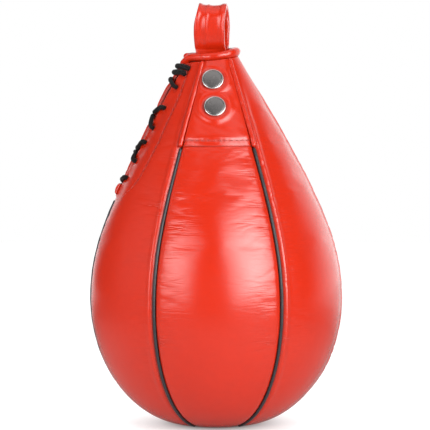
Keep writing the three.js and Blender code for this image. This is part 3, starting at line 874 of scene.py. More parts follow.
def gore_surface(index):
    """One gore's outer and inner grids, lengths and marks.

    Outer = skin + swell + folds + pressed seam allowance - rolled edges - dimples, groove and dents of the
    lace and thread.
    """
    sizes = bpy.context.scene.speed_bag_sizes
    name = GORE_NAMES[index]
    centre = index * PITCH
    v = np.linspace(0, 1, sizes.gore_rows)
    s_line = v * length_at(rim_height(centre))
    r_line, z_line = outline_at(s_line)[:2]
    lip = smooth(z_line, LIP_START - 2 * MM, LIP_START + 2 * MM)
    roll = np.full_like(v, sizes.seam_roll)
    lip_roll = mix(roll, sizes.lip_roll, lip)
    roll_from = lip_roll if name == "front_left" else roll
    roll_to = lip_roll if name == "back_left" else roll
    off, depth = gore_columns(np.maximum(r_line, POLE), roll_from, roll_to, sizes.gore_columns)
    azimuth = centre + off
    s = v[:, None] * length_at(rim_height(azimuth))
    far = name == "back_left"
    r, z = outline_at(s)[:2]
    from_seam = np.radians(off + PITCH / 2) * r
    to_seam = np.radians(PITCH / 2 - off) * r
    ends = plateau(z, GATHER_RISE, GATHER_FALL)
    gathers = (folds(s, from_seam, 20 * index + 3) + folds(s, to_seam, 20 * index + 11)) * ends
    above = swell_at(s, azimuth) + sizes.fold_height * gathers - depth
    for seam in RIDGED[name]:
        arc = np.abs(np.radians(turn_between(azimuth, seam))) * r
        ridge = bell(arc - RIDGE_ARC, RIDGE_WIDTH) * plateau(z, RIDGE_RISE, RIDGE_FALL)
        above = above + sizes.ridge_height * ridge
    nearest = np.minimum(from_seam, to_seam)
    # The crease mark, which the finish paints as shade, lies along the seams and then at the holes and the
    # thread groove.
    crease = bell(nearest, 1.3 * MM)
    if name.endswith("_left"):
        arc = np.abs(np.radians(turn_between(azimuth, SLIT))) * r
        pulled = hole_marks(s, arc, far) * smooth(z, LIP_START, LIP_START + 5 * MM)
        row = row_azimuth(z) if not far else 2 * SLIT - row_azimuth(z)
        groove = bell(np.radians(turn_between(azimuth, row)) * r, ROW_WIDTH) * smooth(z, SLIT_FOOT, 150 * MM)
        above = above - sizes.hole_dimple * pulled - sizes.row_groove * groove
        notch = crossing_notch(s, arc) * smooth(z, LIP_START, LIP_START + 5 * MM)
        thin = bell(arc, CROSSING_WIDTH) * smooth(z, LIP_START + 4 * MM, LIP_START + 30 * MM) * (not far)
        above = above - sizes.crossing_dent * notch - sizes.near_lip_drop * thin
        crease = np.maximum(crease, np.maximum(0.8 * pulled, 0.6 * groove))
    shirr = np.exp(-nearest / SHIRR_REACH) * ends * (0.6 + 0.4 * wander(s, index + 60, (60, 33, 17)))
    outer = skin(s, azimuth, above, far)
    inner = skin(s, azimuth, -sizes.leather, far)
    around = np.radians(off) * r
    return outer, inner, np.stack([around, s], -1), crease, shirr


def both_faces(values):
    """Values on one grid, given to both of a sheet's faces."""
    return np.concatenate([values.reshape(-1, *values.shape[2:])] * 2)


def make_gore(index):
    """One gore: its two grids closed along their edges, with creases and gathers marked for its finish."""
    outer, inner, run, crease, shirr = gore_surface(index)
    name = GORE_NAMES[index]
    marks = {"crease": both_faces(crease), "shirr": both_faces(np.maximum(shirr, 0))}
    piece = new_piece(
        name + "_gore", [closed_pair(outer, inner)], finish("red_leather"),
        stands_for=[name + "_panel"], uv=both_faces(run), marks=marks,
    )
    return piece


# ---- piping ----
# Each seam's azimuth, its top's height, and how deep the bead is sunk below and above the belly, all lengths
# in millimetres.
UNDER_PATCH, UNDER_COLLAR, UNDER_SLIT = 171.5, 222.7, 137
PIPED_SEAMS = (
    ("front_left_piping", -30, UNDER_PATCH, (0, 0.8)), ("front_right_piping", 30, UNDER_PATCH, (0, 0)),
    ("right_piping", 90, UNDER_COLLAR, (1.1, 2.3)), ("back_right_piping", 150, UNDER_PATCH, (0, 0)),
    ("back_left_piping", 210, UNDER_PATCH, (0, 0)), ("left_piping", 270, UNDER_SLIT, (0, 0)),
)
PIPING_FOOT = 1.2 * MM
SUNK_FROM, SUNK_TO = 115 * MM, 165 * MM  # heights between which the bead's depth changes
FLANGE_HALF, FLANGE_DEPTH = 0.38 * MM, 3.3 * MM


def make_piping(name, azimuth, top, sunk):
    """A keyhole profile, bead above flange, carried up the seam's crease; its radius wanders a little."""
    sizes = bpy.context.scene.speed_bag_sizes
    s = np.linspace(length_at(PIPING_FOOT), length_at(top * MM), 420)
    deep = mix(*sunk, smooth(s, length_at(SUNK_FROM), length_at(SUNK_TO))) * MM
    stand = sizes.piping_stand - deep + 0.08 * MM * wander(s, azimuth % 360)
    path = skin(s, azimuth, stand)
    a = np.radians(azimuth)
    side = np.array([np.cos(a), np.sin(a), 0])
    up = outward(s, azimuth)
    radius = sizes.piping_radius * (1 + 0.03 * wander(s, azimuth % 360 + 5, (11, 6.3, 4.1)))
    radius = radius * rounded_ends(run_length(path), 1.2 * MM)
    open_at = np.degrees(np.arcsin(FLANGE_HALF / sizes.piping_radius))
    t = np.radians(np.linspace(-90 + open_at, 270 - open_at, 19))
    x = np.cos(t)[None] * radius[:, None]
    y = np.sin(t)[None] * radius[:, None]
    corners = np.array([[-FLANGE_HALF, -FLANGE_DEPTH], [FLANGE_HALF, -FLANGE_DEPTH]])
    foot = np.broadcast_to(corners, (len(s), 2, 2))
    x = np.hstack([x, foot[:, :, 0]])
    y = np.hstack([y, foot[:, :, 1]])
    rings = path[:, None] + x[..., None] * side + y[..., None] * up[:, None]
    around = np.broadcast_to(np.arange(rings.shape[1]) / rings.shape[1] * 6 * MM, rings.shape[:2])
    run = np.stack([around, np.broadcast_to(s[:, None], around.shape)], -1)
    new_piece(name + "_cord", [ringed(rings)], finish("piping"), stands_for=[name], uv=run)


# ---- neck ----
def slab(azimuths, heights, above, below, far=False, counts=(40, 80)):
    """A strip of skin between two azimuths and two heights, as outer and inner grids.

    Above and below are how far its faces lie over the skin: numbers, or functions of the grid.
    """
    u = crowded(np.linspace(0, 1, counts[0]))
    azimuth = np.broadcast_to(mix(azimuths[0], azimuths[1], u)[None], (counts[1], counts[0]))
    top = heights[1](azimuth) if callable(heights[1]) else heights[1]
    v = np.linspace(0, 1, counts[1])[:, None]
    s = mix(length_at(heights[0]), length_at(top), v) + 0 * azimuth
    r, z = outline_at(s)[:2]
    grid = {"s": s, "azimuth": azimuth, "r": r, "z": z, "u": u + 0 * s, "v": v + 0 * s}
    high = above(grid) if callable(above) else above
    low = below(grid) if callable(below) else below
    run = np.stack(np.broadcast_arrays(np.radians(azimuth - azimuths[0]) * r, s), -1)
    return skin(s, azimuth, high, far), skin(s, azimuth, low, far), both_faces(run), grid


def edge_round(value, share):
    """1 inside, easing to 0 at both ends of 0..1 as a quarter circle over the share given."""
    t = np.clip(np.minimum(value, 1 - value) / share, 0, 1)
    return np.sqrt(np.clip(1 - (1 - t) ** 2, 0, 1))


# The patch: its foot's skived thickness and the length of the taper, its rim's gap under the collar, and
# round each rivet a dish, a raised ring outside it and a crease between the two.
SKIVED, TAPER, RIM_GAP = 0.7 * MM, 5 * MM, 0.2 * MM
DISH_DEPTH, DISH_WIDTH = 0.55 * MM, 6.6 * MM
RING_HEIGHT, RING_RADIUS, RING_WIDTH = 0.75 * MM, 8.9 * MM, 2.2 * MM
SEAT_CREASE = 6.9 * MM
CREASE_WIDTH = 0.8 * MM


def rivet_distance(grid, centre):
    """Distance on the skin from each rivet of an end, the smaller one."""
    arc = np.radians(turn_between(grid["azimuth"], centre)) * grid["r"]
    sign = 1 if centre == 0 else -1
    spots = [np.hypot(arc - sign * x, grid["s"] - length_at(height)) for _, height, x in RIVETS]
    return np.minimum(*spots)


def patch_row(grid):
    """Signed distance along the outline from the patch's row of thread."""
    sizes = bpy.context.scene.speed_bag_sizes
    return grid["s"] - length_at(PATCH_FOOT) - sizes.row_inset


def make_patch(end, centre):
    """The second layer on the neck, with a welt along each of its two seams.

    Above the skin = skived thickness + dish and ring round the rivets - groove of the thread + puff beside
    it + clouding, brought down to nothing at the edges.
    """
    sizes = bpy.context.scene.speed_bag_sizes

    def above(grid):
        skived = mix(SKIVED, sizes.patch, smooth(grid["z"], PATCH_FOOT, PATCH_FOOT + TAPER))
        seat = rivet_distance(grid, centre)
        ring = RING_HEIGHT * bell(seat - RING_RADIUS, RING_WIDTH)
        dish = -DISH_DEPTH * bell(seat, DISH_WIDTH) + ring
        row = patch_row(grid)
        stitch = np.cos(2 * np.pi * np.radians(grid["azimuth"] - centre) * grid["r"] / sizes.stitch)
        groove = bell(row, 1.1 * MM) * (0.75 + 0.25 * stitch)
        puff = 0.05 * MM * bell(row + 2.4 * MM, 1.5 * MM) + 0.08 * MM * bell(row - 3.4 * MM, 2.4 * MM)
        slant = grid["s"] + np.radians(grid["azimuth"]) * grid["r"] * 0.6
        cloud = 0.07 * MM * wander(slant, centre + 3, (19, 11, 7))
        edge = edge_round(grid["u"], 0.035) * edge_round(grid["v"], 0.01)
        return (skived + dish - sizes.row_groove * 0.7 * groove + puff + cloud) * edge + 0.1 * MM

    inset = np.degrees(1 * MM / np.interp(length_at(200 * MM), LENGTH, OUT_R))
    azimuths = (centre - PITCH / 2 + inset, centre + PITCH / 2 - inset)
    outer, inner, run, grid = slab(
        azimuths, (PATCH_FOOT, lambda a: rim_height(a) - RIM_GAP), above, 0.05 * MM, counts=(110, 150)
    )
    # Crease marks along the thread row, round each rivet's seat and at the foot's edge, which the finish
    # paints as shade.
    at_row = 0.7 * bell(patch_row(grid), CREASE_WIDTH)
    at_seat = 0.7 * bell(rivet_distance(grid, centre) - SEAT_CREASE, CREASE_WIDTH)
    crease = np.maximum(np.maximum(at_row, at_seat), bell(grid["v"], 0.012))
    parts = [closed_pair(outer, inner)]
    runs = [run]
    creases = [both_faces(crease)]
    for turn in (-PITCH / 2, PITCH / 2):
        azimuth = centre + turn
        s = np.linspace(length_at(PATCH_FOOT - 0.5 * MM), length_at(rim_height(azimuth) - RIM_GAP), 130)
        path = skin(s, azimuth, sizes.welt_stand + 0.1 * MM * wander(s, azimuth % 360 + 9))
        radius = sizes.welt_radius * (1 + 0.05 * wander(s, azimuth % 360 + 21, (14, 8, 5)))
        rings = tube(path, radius * rounded_ends(run_length(path), 1.5 * MM), 20)
        parts.append(ringed(rings))
        around = np.broadcast_to(np.linspace(0, 9 * MM, 20), rings.shape[:2])
        runs.append(np.stack([around, np.broadcast_to(s[:, None], around.shape)], -1).reshape(-1, 2))
        creases.append(np.zeros(rings.shape[0] * rings.shape[1]))
    new_piece(
        end + "_neck_cover", parts, finish("trim_leather"), stands_for=[end + "_neck_patch"],
        uv=np.concatenate(runs), marks={"crease": np.concatenate(creases)},
    )


# The collar's ring: its radii across and in depth, how far it opens towards the slit, and how far its near
# end turns out and down. Its edge laps over itself at an angle round the tube, in degrees.
COLLAR_ACROSS, COLLAR_DEEP = 12 * MM, 11 * MM
COLLAR_OPENING = 7 * MM
COLLAR_END_OUT, COLLAR_END_DOWN = 1.3 * MM, 5.2 * MM
COLLAR_LAP = 235


def make_collar():
    """The rolled collar: a tube round the mouth, thick in front, thin at the lips, wrinkled lengthwise."""
    sizes = bpy.context.scene.speed_bag_sizes
    azimuth = np.linspace(SLIT + 1, SLIT + 353, 420)
    a = np.radians(azimuth)
    from_slit = turn_between(azimuth, SLIT)
    near_end = bell(azimuth - SLIT, 15)
    opening = np.where(np.abs(from_slit) < 90, COLLAR_OPENING, 0) * bell(from_slit, 40)
    rise = opening + COLLAR_END_OUT * near_end
    height = collar_height(azimuth) + sizes.collar_lift * smooth(np.abs(from_slit), 20, 80)
    height = height - COLLAR_END_DOWN * near_end
    x = (COLLAR_ACROSS + rise) * np.sin(a)
    y = -(COLLAR_DEEP + rise * 0.3) * np.cos(a)
    path = np.stack([x, y, FOOT + height], 1)
    taper = mix(0.8, 1.0, smooth(np.abs(from_slit), 5, 75))
    length = run_length(path)
    radius = sizes.collar_radius * taper * (1 + 0.03 * wander(length, 71, (21, 13, 8)))
    radius = radius * rounded_ends(length, 2.2 * MM)
    tangent = unit(np.gradient(path, axis=0))
    up = unit(np.array([0, 0, 1.0]) - tangent * tangent[:, 2:])
    side = np.cross(tangent, up)
    around = 40
    rings = tube(path, radius, around, (tangent, side, up))
    turn = np.linspace(0, 2 * np.pi, around, endpoint=False)[None]
    wrinkle = 0.09 * MM * np.sin(3 * turn + 2.1 * wander(length, 5, (33, 21))[:, None])
    wrinkle = wrinkle + 0.1 * MM * wander(length, 8, (9, 5.5, 3.7))[:, None] * np.sin(turn + 0.6)
    rings = rings + unit(rings - path[:, None]) * wrinkle[..., None]
    # The lap dents the tube and marks a crease that the finish paints as shade.
    lap = bell(turn_between(np.degrees(turn), COLLAR_LAP), 9) * np.ones_like(length)[:, None]
    rings = rings - unit(rings - path[:, None]) * (0.25 * MM * lap)[..., None]
    run = np.stack(np.broadcast_arrays(turn * sizes.collar_radius, length[:, None]), -1)
    new_piece(
        "rolled_collar", [ringed(rings)], finish("trim_leather"), stands_for=["neck_collar"],
        uv=run, marks={"crease": 0.8 * lap},
    )


# ---- strap ----
STRAP_X = -1.8 * MM
STRAP_HALF = 9.25 * MM
STRAP_TURN = -8.0
STRAP_CORNER = 0.55 * MM
CROWN_RISE = (242 * MM, 255 * MM)  # the heights over which the strap turns from a leg into its crown
TURN_RISE = (223 * MM, 233 * MM)  # the heights over which it takes up its turn about the ball's axis
LEG_BOW = 0.35 * MM
RIDGES = (-7.6 * MM, -2.1 * MM, 7.4 * MM)  # places of the lengthwise ridges across the strap
# Half the strap's middle line as (distance from the axis, height) in millimetres: the leg's points, and the
# loop's cubic from the mouth to the crown.
LEG = ((24.2, 187.4), (11.4, 208.8), (3.0, 220.5), (2.6, 226.3))
LOOP = ((3.1, 229.6), (8.6, 235.5), (11.5, 253.9), (0, 253.9))


def strap_line(count):
    """The strap's middle line from the front leg's end over the crown to the back one's, as (y, height)."""
    half = np.concatenate([through(LEG, 40), cubic(LOOP, np.linspace(0, 1, 30)[:, None])])
    back = half[:-1][::-1]
    whole = np.concatenate([half * (-1, 1), back]) * MM
    line = resample(whole, count)
    for _ in range(6):
        line[1:-1] = (line[:-2] + 2 * line[1:-1] + line[2:]) / 4
    return line


def strap_profile(half_width, half_thickness, corner):
    """A flat section of two plies: rounded corners, and a shallow groove where the plies meet."""
    count = 26
    w = half_width - corner
    top = np.stack([np.linspace(w, -w, count), np.full(count, half_thickness)], 1)
    ply = half_thickness / 2
    edge = np.concatenate([
        arc_points((0, ply), ply, 90, -55, 7) * (1, 1),
        [[ply * 0.25, 0.0]],
        arc_points((0, -ply), ply, 55, -90, 7),
    ])
    right = edge * (corner / ply, 1) + (w, 0)
    left = right[::-1] * (-1, 1)
    bottom = top[::-1] * (1, -1)
    return np.concatenate([top[:-1], left[::-1][:-1], bottom[:-1], right[::-1][:-1]])


def make_strap():
    """One two-ply strap: its section carried along the middle line and turned where it leaves the mouth.

    Out = section + cup x (across / half width) squared at the crown - bow x the same on the legs + ridges.
    """
    sizes = bpy.context.scene.speed_bag_sizes
    line = strap_line(420)
    tangent = unit(np.gradient(line, axis=0))
    normal = np.stack([-tangent[:, 1], tangent[:, 0]], 1)
    section = strap_profile(STRAP_HALF, sizes.strap_thickness / 2, STRAP_CORNER)
    across, lift = section[:, 0], section[:, 1]
    crown = smooth(line[:, 1], *CROWN_RISE)
    length = run_length(line)
    cup = sizes.strap_cup * crown[:, None] * (across / STRAP_HALF) ** 2
    bow = -LEG_BOW * (1 - crown[:, None]) * (across / STRAP_HALF) ** 2
    slide = 0.7 * MM * wander(length, 4, (60, 41))[:, None]
    ridges = sum(bell(across - at + slide, 1.2 * MM) for at in RIDGES)
    ripple = sizes.strap_ridge * ridges * np.sign(lift) * smooth(line[:, 1:], 226 * MM, 236 * MM)
    width = 1 + 0.012 * wander(length, 12)[:, None] - 0.08 * crown[:, None]
    out = lift + cup + bow + ripple
    y = line[:, :1] + normal[:, :1] * out
    z = line[:, 1:] + normal[:, 1:] * out
    front = smooth(-line[:, :1], 0, 4 * MM)
    down = (1 - crown[:, None]) * smooth(line[:, 1:], 216 * MM, 222 * MM)
    x = across * width + front * MM * (0.3 * crown[:, None] - 1.5 * down)
    turn = np.radians(STRAP_TURN) * smooth(line[:, 1:], *TURN_RISE)
    turned_x = STRAP_X + x * np.cos(turn) - y * np.sin(turn)
    turned_y = x * np.sin(turn) + y * np.cos(turn)
    rings = np.stack([turned_x, turned_y, FOOT + z], -1)
    at_edge = smooth(np.abs(across), STRAP_HALF - 0.5 * MM, STRAP_HALF - 0.15 * MM)
    cut = np.broadcast_to(at_edge * bell(lift, 0.4 * MM), rings.shape[:2])
    run = np.stack(np.broadcast_arrays(across, length[:, None]), -1)
    crease = 0.25 * bell(np.abs(across) - (STRAP_HALF - 0.7 * MM), 0.5 * MM) * np.ones_like(cut)
    piece = new_piece(
        "strap", [ringed(rings)], finish("strap_leather"), body=None,
        stands_for=["hang_loop", "front_strap_leg", "back_strap_leg"], uv=run,
        marks={"cut": cut, "crease": crease},
    )
    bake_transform(piece)


# ---- rivets ----
HEAD_SEAT = 1.75 * MM  # how high over the skin the head sits
RIM = 0.55 * MM  # radius of the head's rolled rim
DOME_SHARE, DOME_HEIGHT = 0.86, 0.22 * MM
SHANK = 2.0 * MM
BURR_PLAY = 1.0 * MM  # how far under the strap's leg the burr lies
RIM_HIGHLIGHT = (0.9, 0.93)  # shares of the head's radius over which its painted rim highlight begins


def rivet_place(height, x, front):
    """A rivet's frame: its axis square to the neck's wall."""
    r, _, out_r, out_z = (float(v) for v in outline_at(length_at(height)))
    sign = 1 if front else -1
    axis = Vector((0, -sign * out_r, out_z))
    turn = Vector((0, 0, 1)).rotation_difference(axis).to_matrix().to_4x4()
    where = Vector((x, -sign * math.sqrt(r**2 - x**2), FOOT + height))
    return Matrix.Translation(where) @ turn


def leg_depth(height):
    """How deep the strap leg's inner face lies under the skin along a rivet's axis."""
    r, z, out_r, out_z = outline_at(length_at(height))
    leg = through(LEG, 200) * MM
    miss = np.abs((leg[:, 0] - r) * out_z - (leg[:, 1] - z) * out_r)
    y, level = leg[np.argmin(miss)]
    return float((r - y) * out_r + (z - level) * out_z + 1.6 * MM)


def make_rivet(end, name, height, x):
    """Lathed: a rolled rim, a shallow ring inside it, a low dome, and the shank down to its spread tail."""
    sizes = bpy.context.scene.speed_bag_sizes
    place = rivet_place(height, x, end == "front")
    head, seat, rim = sizes.rivet_head, HEAD_SEAT, RIM
    burr = -leg_depth(height) - BURR_PLAY
    dome = np.linspace(DOME_SHARE, 0.004, 14)
    dome_top = seat + 1.12 * MM + DOME_HEIGHT * (1 - (dome / DOME_SHARE) ** 2)
    head_top = np.stack([head * dome, dome_top], 1)
    profile = np.concatenate([
        [[0.004 * head, burr - 2.4 * MM], [1.6 * MM, burr - 2.4 * MM]],
        arc_points((2.3 * MM, burr - 1.95 * MM), 0.5 * MM, -90, 90, 7),
        [[SHANK, burr - 1.2 * MM], [SHANK, seat - 0.6 * MM], [2.4 * MM, seat - 0.1 * MM]],
        [[head - 1.6 * MM, seat - 0.15 * MM]],
        arc_points((head - rim, seat + rim), rim, -70, 100, 12),
        arc_points((head - 1.7 * rim, seat + 1.5 * rim), 0.35 * rim, 60, 150, 4),
        head_top,
    ])
    rings = lathed(profile, 64, place)
    from_axis = profile[:, :1] / head
    # Where the finish paints a highlight round the head's rim.
    rim_highlight = np.broadcast_to(smooth(from_axis, *RIM_HIGHLIGHT), rings.shape[:2])
    new_piece(
        f"{end}_{name}_cap", [ringed(rings)], finish("rivet_steel"),
        stands_for=[f"{end}_{name}_rivet"], marks={"rim_highlight": rim_highlight},
    )
    ring = np.concatenate([
        arc_points((4.55 * MM, burr - 0.45 * MM), 0.42 * MM, -90, 90, 9),
        arc_points((2.55 * MM, burr - 0.3 * MM), 0.25 * MM, 90, 180, 4),
        arc_points((2.55 * MM, burr - 0.62 * MM), 0.25 * MM, 180, 270, 4),
    ])
    new_piece(
        f"{end}_{name}_washer", [ringed(lathed(ring, 48, place).transpose(1, 0, 2), closed=True)],
        finish("rivet_steel"), stands_for=[f"{end}_{name}_burr"],
    )


# ---- lacing ----
def beside_slit(side, height, around, above):
    """A point a distance round from the slit, on the lip named, at a height in millimetres."""
    s = length_at(height * MM)
    r = np.interp(s, LENGTH, OUT_R)
    sign = -1 if side == "far" else 1
    return skin(s, SLIT + sign * np.degrees(around / r), above, side == "far")


def lace_route():
    """Through each hole in turn: under the lip, at its inner face and over it, and over the far lip."""
    sizes = bpy.context.scene.speed_bag_sizes
    over, mid, under = LACE_RADIUS - 0.2 * MM, -2.2 * MM, -6.4 * MM
    points = []
    for i, (side, height) in enumerate(LACE_HOLES):
        out = i % 2 == 0
        stops = [beside_slit(side, height, HOLE_SIDE, above) for above in (under, mid, over)]
        points += stops if out else stops[::-1]
        if out:
            points.append(beside_slit("far", crossings()[i // 2], 0, over + 0.5 * MM - sizes.crossing_dent))
    return np.array(points)


def make_lace():
    """The lace: one braided cord along its whole route, thicker where it is wound to finish at the top."""
    sizes = bpy.context.scene.speed_bag_sizes
    path = through(lace_route(), 1500)
    length = run_length(path)
    height = path[:, 2] - FOOT
    radius = sizes.lace_radius * (1 + 0.3 * smooth(height, 209 * MM, 212 * MM))
    radius = radius * (1 + 0.02 * np.sin(length * 2600)) * rounded_ends(length, 1.5 * MM)
    around = 18
    rings = tube(path, radius, around)
    turn = np.broadcast_to(np.arange(around) / around, rings.shape[:2])
    run = np.stack([turn, np.broadcast_to(length[:, None], turn.shape)], -1)
    new_piece(
        "braided_lace", [ringed(rings)], finish("lace_cord"), stands_for=["lace"], uv=run
    )


SLIT_RADIUS = 30 * MM  # the skin's radius about halfway up the slit, which turns arcs into angles
FACING_STEP, FACING_EDGE = 0.9 * MM, 11 * MM  # the strip's two edges, as distances from the slit
FACING_TOP, FACING_UNDER = 3.0 * MM, 4.5 * MM
FACING_ROUND = 0.35 * MM
TONGUE_HALF = 13  # degrees
TONGUE_HEIGHTS = (145 * MM, 208 * MM)
TONGUE_TOP, TONGUE_UNDER = 10.3 * MM, 11.6 * MM
STAY_HALF = 4  # degrees
STAY_HEIGHTS = (140.5 * MM, 146.5 * MM)


def make_facing(side, turn):
    """A strip behind each lip that takes the lace's pull, rounded along its edges."""
    far = side == "far"
    edge = turn * np.degrees(FACING_EDGE / SLIT_RADIUS)
    step = turn * np.degrees(FACING_STEP / SLIT_RADIUS)

    def rounding(grid):
        return FACING_ROUND * (1 - edge_round(grid["u"], 0.06) * edge_round(grid["v"], 0.01))

    def above(grid):
        return -FACING_TOP - rounding(grid)

    def below(grid):
        return -FACING_UNDER + rounding(grid)

    azimuths = sorted((SLIT + step, SLIT + edge))
    outer, inner, run, grid = slab(
        azimuths, (SLIT_FOOT, float(rim_height(SLIT)) - 1 * MM), above, below, far, counts=(24, 90)
    )
    crease = 0.3 * bell(grid["u"] - 0.5, 0.05) * np.ones_like(grid["r"])
    new_piece(
        side + "_facing", [closed_pair(outer, inner)], finish("trim_leather"),
        stands_for=[side + "_slit_facing"], uv=run, marks={"crease": both_faces(crease)},
    )


def make_tongue():
    """The tongue behind the slit: it bows between its long edges and buckles gently along its length."""

    def bowed(level):
        def above(grid):
            bow = 0.8 * MM * (1 - (2 * grid["u"] - 1) ** 2) + 0.2 * MM * wander(grid["s"], 33)
            return level + bow
        return above

    azimuths = (SLIT - TONGUE_HALF, SLIT + TONGUE_HALF)
    outer, inner, run, grid = slab(
        azimuths, TONGUE_HEIGHTS, bowed(-TONGUE_TOP), bowed(-TONGUE_UNDER), counts=(30, 90)
    )
    crease = 0.3 * bell(grid["u"] - 0.08, 0.03)
    new_piece(
        "tongue", [closed_pair(outer, inner)], finish("trim_leather"),
        stands_for=["slit_tongue"], uv=run, marks={"crease": both_faces(crease)},
    )


def make_stay():
    """The stay across the slit's foot: a small pad, domed across and along."""
    def above(grid):
        return 0.2 * MM + 1.7 * MM * edge_round(grid["u"], 0.5) * edge_round(grid["v"], 0.5)

    azimuths = (SLIT - STAY_HALF, SLIT + STAY_HALF)
    outer, inner, run, grid = slab(azimuths, STAY_HEIGHTS, above, -0.6 * MM, far=True, counts=(28, 28))
    new_piece(
        "foot_stay", [closed_pair(outer, inner)], finish("trim_leather"),
        stands_for=["slit_stay"], uv=run, marks={"crease": both_faces(0 * grid["r"])},
    )


# ---- stitching ----
def stitches(s, azimuth, far, base):
    """Threads laid end to end along a row: each rises over the leather as an arch and dives at both ends.

    Ring centre = row point raised by base + arch (1 - (2t)^4), for t from -1/2 to 1/2 of a stitch.
    """
    sizes = bpy.context.scene.speed_bag_sizes
    row = skin(s, azimuth, base, far)
    length = run_length(row)
    count = int(length[-1] / sizes.stitch)
    t = np.linspace(-0.5, 0.5, 9)
    at = (np.arange(count)[:, None] + 0.5 + t * 0.78) * length[-1] / count
    along = np.interp(at, length, s)
    turn = np.interp(at, length, azimuth)
    lift = np.interp(at, length, base) + sizes.thread * (0.5 - 2.6 * (2 * t) ** 4)
    flag = np.interp(at, length, far.astype(float)) > 0.5
    centre = skin(along, turn, lift, flag)
    tangent = unit(np.gradient(centre, axis=1))
    up = outward(along, turn)
    side = unit(np.cross(tangent, up))
    up = np.cross(side, tangent)
    a = np.linspace(0, 2 * np.pi, 8, endpoint=False)
    circle = np.cos(a)[:, None] * side[:, :, None] + np.sin(a)[:, None] * up[:, :, None]
    ends = np.array([0.35] + [1.0] * (len(t) - 2) + [0.35]) * sizes.thread
    rings = centre[:, :, None] + circle * ends[:, None, None]
    around = np.broadcast_to(np.arange(8) / 8, rings.shape[:3])
    run = np.stack(np.broadcast_arrays(around, at[:, :, None]), -1)
    return [ringed(one) for one in rings], run


def make_patch_row(end, centre):
    """The row that sews a patch's foot."""
    sizes = bpy.context.scene.speed_bag_sizes
    azimuth = np.linspace(centre - PITCH / 2 + 3.2, centre + PITCH / 2 - 3.2, 200)
    s = np.full_like(azimuth, length_at(PATCH_FOOT) + sizes.row_inset)
    base = np.full_like(azimuth, sizes.patch - 0.5 * MM)
    parts, run = stitches(s, azimuth, np.zeros(200, bool), base)
    new_piece(end + "_patch_thread", parts, finish("thread"), uv=run)


def make_slit_row():
    """The row that sews the facing: down the near side, round the slit's foot and up the far side."""
    far = tuple((height, 2 * SLIT - azimuth) for height, azimuth in SLIT_ROW[::-1])
    height, azimuth = through(SLIT_ROW + far, 900).T
    s = length_at(height * MM)
    base = np.full_like(s, -0.22 * MM) + swell_at(s, azimuth)
    parts, run = stitches(s, azimuth, azimuth < SLIT, base)
    new_piece("slit_thread", parts, finish("thread"), uv=run)


# ---- inside the ball ----
LINING_TOP = 183 * MM
LINING_FACES = (5.4 * MM, 6.2 * MM)  # depths of its two faces under the outline
BLADDER_GAP, BLADDER_WALL = 7.8 * MM, 1.3 * MM
STEM_FOOT, STEM_TOP, STEM_RADIUS = 186 * MM, 200 * MM, 5.2 * MM


def make_lining():
    """Cloth sewn inside the skin, open behind the slit: outline - depth - slack folds along the seams."""
    rows, columns = 110, 140
    s = np.linspace(0, length_at(LINING_TOP), rows)[:, None]
    r, z, out_r, out_z = outline_at(s)
    opening = (smooth(z, SLIT_FOOT - 22 * MM, SLIT_FOOT - 6 * MM) * 14 + 0.5) * MM
    edge = np.degrees(opening / np.maximum(r, 1 * MM))
    azimuth = mix(SLIT + edge, SLIT + 360 - edge, np.linspace(0, 1, columns)[None])
    a = np.radians(azimuth)
    slack = 0.25 * MM * np.cos(6 * a) * smooth(s, 30 * MM, 80 * MM)
    slack = slack + 0.1 * MM * wander(s + azimuth * 0.1 * MM, 44)
    faces = []
    for depth in LINING_FACES:
        reach = np.maximum(r - out_r * (depth + slack), 0.5 * MM)
        height = FOOT + z - out_z * (depth + slack)
        faces.append(np.stack([reach * np.sin(a), -reach * np.cos(a), height], -1))
    run = np.stack(np.broadcast_arrays(np.radians(azimuth) * r, s), -1)
    new_piece(
        "drill_lining", [closed_pair(*faces)], finish("lining_cloth"), stands_for=["lining"],
        uv=both_faces(run),
    )


def bladder_wall(inset):
    """The bladder's outline, inset by its wall: flat foot, quarter ellipse, cubic to the stem, open stem."""
    foot, widest = BLADDER_GAP + inset, RADIUS - BLADDER_GAP - inset
    stem = STEM_RADIUS - inset
    t = np.linspace(0, 1, 40)[:, None]
    turn = (t - 1) * np.pi / 2
    out = FOOT_RADIUS + (widest - FOOT_RADIUS) * np.cos(turn)
    belly = np.hstack([out, BELLY + (BELLY - foot) * np.sin(turn)])
    neck = cubic((
        (widest, BELLY), (widest, 112 * MM), (48 * MM - inset, 140 * MM), (16 * MM - inset, 178 * MM - inset),
    ), t)
    shaft = [[stem, STEM_FOOT - inset], [stem, STEM_TOP]]
    return np.concatenate([[[0.2 * MM, foot]], belly, neck[1:], shaft])


def make_bladder():
    """Rubber ball and stem, lathed as one wall, with the mould's parting line round it."""
    outer = bladder_wall(0)
    outer[:, 0] += 0.25 * MM * bell(outer[:, 1] - BELLY, 1.5 * MM)
    profile = np.concatenate([outer, bladder_wall(BLADDER_WALL)[::-1]])
    rings = lathed(profile, 72, Matrix.Translation((0, 0, FOOT)))
    new_piece(
        "rubber_bladder", [ringed(rings)], finish("bladder_rubber"),
        stands_for=["bladder"],
    )


